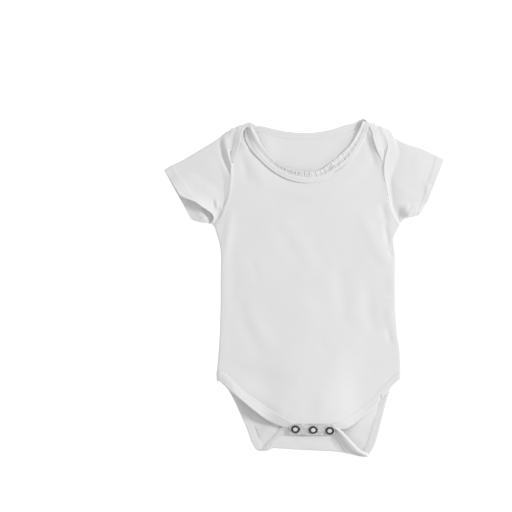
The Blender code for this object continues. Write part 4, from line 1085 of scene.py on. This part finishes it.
def side_seam(name, rows, side):
    """The side seam, where front and back meet."""
    line = stepped(spline(rows, 4), SIDE_SEAM_STEP)
    first, last = (tuple(a + (a - b) * SIDE_SEAM_OVERLAP for a, b in zip(line[i], line[j]))
                   for i, j in ((0, 1), (-1, -2)))
    points, knit = [], []
    for k, (x, y) in enumerate([first, *line, last]):
        for i in range(SIDE_SEAM_SIDES):
            angle = 2 * math.pi * i / SIDE_SEAM_SIDES
            points.append((x - side * SIDE_SEAM_INSET + SIDE_SEAM_HALF_WIDTH * math.cos(angle), y,
                           SIDE_SEAM_Z + SIDE_SEAM_HALF_HEIGHT * math.sin(angle)))
            knit.append((i * 0.4, k * SIDE_SEAM_STEP))
    faces = tube_faces(len(line) + 2, SIDE_SEAM_SIDES)
    return recalculated(cloth_piece(name, points, faces, knit))


# ---------------------------------------------------------------- stitches

def stitch_tree():
    """Geometry nodes: short threads laid end to end along a seam line."""
    tree = bpy.data.node_groups.new("seam_stitches", "GeometryNodeTree")
    face = tree.interface
    for way in ("INPUT", "OUTPUT"):
        face.new_socket("Geometry", in_out=way, socket_type="NodeSocketGeometry")
    for label, value in (("Stitch spacing", 2.6), ("Stitch length", 1.9), ("Thread radius", 0.19)):
        socket = face.new_socket(label, in_out="INPUT", socket_type="NodeSocketFloat")
        socket.default_value = value * MM
    face.new_socket("Thread", in_out="INPUT", socket_type="NodeSocketMaterial")
    nodes = {label: tree.nodes.new(kind) for label, kind in (
        ("source", "NodeGroupInput"), ("curve", "GeometryNodeMeshToCurve"),
        ("marks", "GeometryNodeCurveToPoints"), ("thread", "GeometryNodeMeshUVSphere"),
        ("half", "ShaderNodeMath"), ("ratio", "ShaderNodeMath"),
        ("scale", "ShaderNodeCombineXYZ"), ("place", "GeometryNodeInstanceOnPoints"),
        ("real", "GeometryNodeRealizeInstances"), ("smooth", "GeometryNodeSetShadeSmooth"),
        ("finish", "GeometryNodeSetMaterial"), ("result", "NodeGroupOutput"))}
    nodes["marks"].mode = "LENGTH"
    nodes["half"].operation = nodes["ratio"].operation = "DIVIDE"
    for label, socket, value in (("thread", "Segments", 6), ("thread", "Rings", 4), ("half", 1, 2),
                                 ("scale", "X", 1), ("scale", "Y", 1)):
        nodes[label].inputs[socket].default_value = value
    for start, output, end, socket in (
            ("source", "Geometry", "curve", "Mesh"), ("curve", "Curve", "marks", "Curve"),
            ("source", "Stitch spacing", "marks", "Length"),
            ("source", "Thread radius", "thread", "Radius"),
            ("source", "Stitch length", "half", 0), ("half", 0, "ratio", 0),
            ("source", "Thread radius", "ratio", 1), ("ratio", 0, "scale", "Z"),
            ("marks", "Points", "place", "Points"), ("thread", "Mesh", "place", "Instance"),
            ("marks", "Rotation", "place", "Rotation"), ("scale", "Vector", "place", "Scale"),
            ("place", "Instances", "real", "Geometry"), ("real", "Geometry", "smooth", "Geometry"),
            ("smooth", "Geometry", "finish", "Geometry"),
            ("source", "Thread", "finish", "Material"),
            ("finish", "Geometry", "result", "Geometry")):
        tree.links.new(nodes[start].outputs[output], nodes[end].inputs[socket])
    return tree


def stitching(name, lines, tree, thread):
    """All of the visible seam stitches as one piece."""
    points, edges = [], []
    for line in lines:
        edges += [(len(points) + k, len(points) + k + 1) for k in range(len(line) - 1)]
        points += line
    piece = make_piece(name, points, [], edges)
    modifier = piece.modifiers.new("stitches", "NODES")
    modifier.node_group = tree
    for item in tree.interface.items_tree:
        if item.name == "Thread":
            modifier[item.identifier] = thread
    settle(piece)
    return piece


# ---------------------------------------------------------------- snaps

def on_tab(x, y, points):
    """Points round a snap's centre, laid on the sloping tab."""
    tilt = math.atan(TAB_SLOPE)
    up = Vector((0, -math.sin(tilt), math.cos(tilt)))
    base = Vector((x, y, float(tab_z(y)))) + up * TAB_WALL / 2
    return [base + Vector((px, py * math.cos(tilt) - pz * math.sin(tilt),
                           py * math.sin(tilt) + pz * math.cos(tilt))) for px, py, pz in points]


def snap_ring(name, x, y):
    """Open ring of a press snap: domed, with its rolled inner lip."""
    profile = ((SNAP_OUTER_R - 0.15, -0.3), (SNAP_OUTER_R, 0.05), (SNAP_OUTER_R - 0.02, 0.4),
               (SNAP_OUTER_R - 0.25, 0.75), (SNAP_OUTER_R - 0.6, SNAP_HEIGHT),
               (SNAP_OUTER_R - 1.0, SNAP_HEIGHT - 0.02), (SNAP_INNER_R + 0.35, 0.8),
               (SNAP_INNER_R + 0.08, 0.5), (SNAP_INNER_R, 0.15), (SNAP_INNER_R + 0.1, -0.3))
    sides, ring = 48, len(profile)
    points, faces = [], []
    for k in range(sides):
        angle, after = 2 * math.pi * k / sides, (k + 1) % sides
        for i, (r, z) in enumerate(profile):
            j = (i + 1) % ring
            points.append((r * math.cos(angle), r * math.sin(angle), z))
            faces.append((k * ring + i, after * ring + i, after * ring + j, k * ring + j))
    return recalculated(make_piece(name, on_tab(x, y, points), faces))


def snap_cloth(name, x, y, height):
    """The tab's cloth pressed up inside a ring."""
    rings, sides = 5, 24
    points, faces = [(0, 0, height)], []
    for i in range(1, rings + 1):
        r = (SNAP_INNER_R + 0.25) * i / rings
        for k in range(sides):
            angle = 2 * math.pi * k / sides
            wobble = 1 + 0.08 * math.sin(3 * angle + x)
            points.append((r * math.cos(angle), r * math.sin(angle),
                           height * (1 - (i / rings) ** 2.4 * wobble) - 0.05))
    for k in range(sides):
        faces.append((0, 1 + k, 1 + (k + 1) % sides))
        for i in range(rings - 1):
            a, b = 1 + i * sides + k, 1 + i * sides + (k + 1) % sides
            faces.append((a, a + sides, b + sides, b))
    piece = cloth_piece(name, on_tab(x, y, points), faces, [p[:2] for p in points])
    thicken(piece, 0.4)
    return piece


# ---------------------------------------------------------------- finishes

class Finish:
    """A material, with short ways to build its nodes."""

    def __init__(self, name):
        self.material = bpy.data.materials.new(name)
        self.material.use_nodes = True
        self.tree = self.material.node_tree
        self.here = self.add("ShaderNodeTexCoord").outputs["Object"]

    def feed(self, node, inputs):
        """Give a node its inputs, as values or as the outputs of other nodes."""
        for key, value in inputs.items():
            if isinstance(value, bpy.types.NodeSocket):
                self.tree.links.new(value, node.inputs[key])
            else:
                node.inputs[key].default_value = value

    def add(self, kind, inputs=None, **settings):
        node = self.tree.nodes.new(kind)
        for key, value in settings.items():
            setattr(node, key, value)
        self.feed(node, inputs or {})
        return node

    def maths(self, operation, a, b=0):
        return self.add("ShaderNodeMath", {0: a, 1: b}, operation=operation).outputs[0]

    def weighted(self, a, a_share, b, b_share):
        return self.maths("ADD", self.maths("MULTIPLY", a, a_share),
                          self.maths("MULTIPLY", b, b_share))

    def noise(self, scale, detail=2):
        inputs = {"Vector": self.here, "Scale": scale, "Detail": detail}
        return self.add("ShaderNodeTexNoise", inputs).outputs["Fac"]

    def ramp(self, factor, dark, light, start=0, end=1):
        node = self.add("ShaderNodeValToRGB", {"Fac": factor})
        stops = node.color_ramp.elements
        stops[0].position, stops[0].color = start, (*dark, 1)
        stops[1].position, stops[1].color = end, (*light, 1)
        return node.outputs["Color"]

    def bump(self, height, strength, distance):
        inputs = {"Height": height, "Strength": strength, "Distance": distance}
        return self.add("ShaderNodeBump", inputs).outputs["Normal"]

    def done(self, **inputs):
        names = {key.replace("_", " "): value for key, value in inputs.items()}
        self.feed(self.tree.nodes["Principled BSDF"], names)
        return self.material


def jersey_finish(name, light, dark, strength):
    """White cotton interlock: fine ribs in the cloth's own flat coordinates, slightly mottled. The
    ribs also darken the colour in their grooves, which is painted shade.
    """
    kit = Finish(name)
    flat = kit.add("ShaderNodeUVMap", uv_map="knit").outputs["UV"]
    split = kit.add("ShaderNodeSeparateXYZ", {0: flat})
    jitter = kit.maths("MULTIPLY", kit.noise(600), 1.6)
    turns = 2 * math.pi * KNIT_UNIT
    ribs, loops = (
        kit.maths("SINE", kit.maths("ADD", kit.maths("MULTIPLY", split.outputs[i], turns / pitch),
                                    jitter))
        for i, pitch in enumerate((WALE_PITCH, COURSE_PITCH)))
    knit = kit.weighted(ribs, 0.7, loops, 0.3)
    relief = kit.maths("ADD", knit, kit.maths("MULTIPLY", kit.noise(2600), 1.2))
    # random mottled tone, plus the rib pattern, which darkens the colour in the ribs' grooves as
    # painted shade
    mottle_and_rib_shade = kit.weighted(kit.noise(22, 3), 0.7, kit.maths("ADD", knit, 1), 0.12)
    mix = kit.add("ShaderNodeMix", data_type="RGBA")
    kit.feed(mix, {0: mottle_and_rib_shade, 6: (*dark, 1), 7: (*light, 1)})
    return kit.done(Base_Color=mix.outputs[2], Normal=kit.bump(relief, strength, 0.00008),
                    Roughness=0.92, Sheen_Weight=0.12, Sheen_Roughness=0.6,
                    Specular_IOR_Level=0.25)


def shaded_tape_finish():
    """The tab's face: coarse cloth with a bumpy weave. Its darker grey and its dark mottles are
    painted shade, of the strip that slopes away from the light and of the puckers round the snaps.
    """
    kit = Finish("snap_tape_painted_shade")
    both = kit.weighted(kit.noise(210, 3), 0.55, kit.noise(900, 3), 0.45)
    return kit.done(Base_Color=kit.ramp(both, (0.4, 0.4, 0.405), (0.8, 0.8, 0.805), 0.36, 0.66),
                    Normal=kit.bump(both, 0.8, 0.0003), Roughness=0.9)


def thread_finish():
    kit = Finish("white_thread")
    twist = kit.noise(1500)
    return kit.done(Base_Color=kit.ramp(twist, (0.66, 0.66, 0.67), (0.78, 0.78, 0.78)),
                    Roughness=0.7)


def snap_finish():
    # the near-black, mottled base colour is a painted dark reflection: polished metal would take on
    # the white of this studio
    kit = Finish("snap_metal_painted_reflection")
    mottle = kit.noise(900, 4)
    rough = kit.add("ShaderNodeMapRange", {"Value": mottle, "To Min": 0.28, "To Max": 0.5})
    return kit.done(Base_Color=kit.ramp(mottle, (0.035, 0.036, 0.040), (0.12, 0.12, 0.13), 0.35, 0.7),
                    Roughness=rough.outputs["Result"], Metallic=1)


# ---------------------------------------------------------------- the bodysuit

jersey = jersey_finish("white_interlock", (0.785, 0.785, 0.79), (0.735, 0.735, 0.74), 0.3)
rib = jersey_finish("white_binding", (0.79, 0.79, 0.795), (0.735, 0.735, 0.74), 0.4)
shaded_tape, thread, metal = shaded_tape_finish(), thread_finish(), snap_finish()

front, front_cut = front_panel()
back, back_cut = back_panel()
left_sleeve, left_hem, left_cut = sleeve(
    "left_sleeve_cloth", ARMHOLE_LEFT, LEFT_SLEEVE_TOP, LEFT_SLEEVE_UNDER, LEFT_CUFF_FRONT,
    LEFT_CUFF_BACK, 1, LEFT_FORM, LEFT_SLEEVE_FOLDS, LEFT_SLEEVE_INSIDE)
right_sleeve, right_hem, right_cut = sleeve(
    "right_sleeve_cloth", ARMHOLE_RIGHT, RIGHT_SLEEVE_TOP, RIGHT_SLEEVE_UNDER, RIGHT_CUFF,
    RIGHT_CUFF, -1, RIGHT_FORM, RIGHT_SLEEVE_FOLDS)
front_neck, gathers = front_neck_rails()
back_neck = back_neck_rails()
left_rails = leg_rails(LEFT_LEG_FRONT, LEFT_LEG_BACK, LEFT_LEG_EXTENSION, -1)
right_rails = leg_rails(RIGHT_LEG_FRONT, RIGHT_LEG_BACK, RIGHT_LEG_EXTENSION, 1)
neck_front = band("front_neck_binding", front_neck, NECK_PROFILE, 1,
                  gather_ripple(front_neck, gathers))
neck_back = band("back_neck_binding", back_neck, BACK_NECK_PROFILE, -1, None, SEAM_TUCK)
left_leg = band("left_leg_binding", left_rails, LEG_PROFILE, 1, None, SEAM_TUCK,
                pressed_flat(left_rails))
right_leg = band("right_leg_binding", right_rails, LEG_PROFILE, -1,
                 arch_ripple(right_rails, RIGHT_LEG_NICKS), SEAM_TUCK)
left_armhole = armhole_seam("left_armhole_seam", ARMHOLE_LEFT, 1, LEFT_FORM)
right_armhole = armhole_seam("right_armhole_seam", ARMHOLE_RIGHT, -1, RIGHT_FORM)
left_side_seam = side_seam("left_side_seam", LEFT_SIDE, -1)
right_side_seam = side_seam("right_side_seam", RIGHT_SIDE, 1)

lines = [left_hem, right_hem]
for share in NECK_STITCHES:
    lines.append(band_line(front_neck, NECK_PROFILE, 1, share))
for share in BINDING_STITCHES:
    for face in (1, -1):
        for rails, profile, side in ((back_neck, BACK_NECK_PROFILE, -1),
                                     (left_rails, LEG_PROFILE, 1), (right_rails, LEG_PROFILE, -1)):
            lines.append(band_line(rails, profile, side, share, face))
stitches = stitching("seam_stitches", lines, stitch_tree(), thread)

rings, domes = [], []
for number, (x, y, height) in enumerate(SNAPS, 1):
    rings.append(snap_ring(f"snap_{number}", x, y))
    domes.append(snap_cloth(f"snap_cloth_{number}", x, y, height))

panels = (front, back, left_sleeve, right_sleeve)
bindings = (neck_front, neck_back, left_leg, right_leg)
seams = (left_side_seam, right_side_seam, left_armhole, right_armhole)
for finish, pieces in ((jersey, (*panels, *seams, *domes)), (rib, bindings), (metal, rings)):
    for piece in pieces:
        piece.data.materials.clear()
        piece.data.materials.append(finish)
# the faces below the ridge take the tape finish, whose grey and dark mottles are painted shade
front.data.materials.append(shaded_tape)
for face in front.data.polygons:
    face.material_index = int(face.center.y < (RIDGE_Y - 0.6) * MM)

for piece, node in zip((*panels, *bindings), (
        "front_panel", "back_panel", "sleeve_left", "sleeve_right", "neck_band_front",
        "neck_band_back", "leg_band_left", "leg_band_right")):
    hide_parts(node)
for number, piece in enumerate(rings, 1):
    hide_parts(f"snap_ring_{number}")
cloth = (*panels, *bindings, *seams, stitches, *domes)
for piece in (*cloth, *rings):
    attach(piece, BODY)

# ---------------------------------------------------------------- stage

floor = make_piece("floor", [(x * FLOOR_HALF, y * FLOOR_HALF, -0.3)
                             for x, y in ((-1, -1), (1, -1), (1, 1), (-1, 1))], [(0, 1, 2, 3)])
floor.data.materials.append(Finish("studio_floor").done(
    Base_Color=(1, 1, 1, 1), Roughness=0.9, Emission_Color=(1, 1, 1, 1), Emission_Strength=0.4))

scene = bpy.context.scene
scene.world = bpy.data.worlds.new("studio")
scene.world.use_nodes = True
sky = scene.world.node_tree.nodes["Background"]
sky.inputs["Color"].default_value = (1, 1, 1, 1)
sky.inputs["Strength"].default_value = SKY_STRENGTH

key = bpy.data.lights.new("key", "AREA")
key.shape = "DISK"
key.size, key.energy = KEY_SIZE, KEY_POWER
key_lamp = bpy.data.objects.new("key", key)
turn, rise = math.radians(KEY_AZIMUTH), math.radians(KEY_ELEVATION)
towards = Vector((math.cos(turn) * math.cos(rise), math.sin(turn) * math.cos(rise),
                  math.sin(rise)))
key_lamp.location = towards * KEY_DISTANCE
key_lamp.rotation_euler = (-towards).to_track_quat("-Z", "Y").to_euler()
scene.collection.objects.link(key_lamp)

camera_data = bpy.data.cameras.new("camera")
camera_data.sensor_width = SENSOR_WIDTH
camera_data.lens = SENSOR_WIDTH * CAMERA_PLACE[2] / VIEW_WIDTH
camera = bpy.data.objects.new("camera", camera_data)
camera.location = CAMERA_PLACE
scene.collection.objects.link(camera)
scene.camera = camera
scene.view_settings.view_transform = "Standard"

for piece, cut, below, carried in (
        (back, back_cut, (), (neck_back, left_leg, right_leg, stitches, left_side_seam,
                              right_side_seam)),
        (front, front_cut, (back,), (neck_front, *domes, *rings)),
        (left_sleeve, left_cut, (), (left_armhole,)),
        (right_sleeve, right_cut, (), (right_armhole,))):
    print(piece.name, "cut", [round(v, 4) for v in cut])
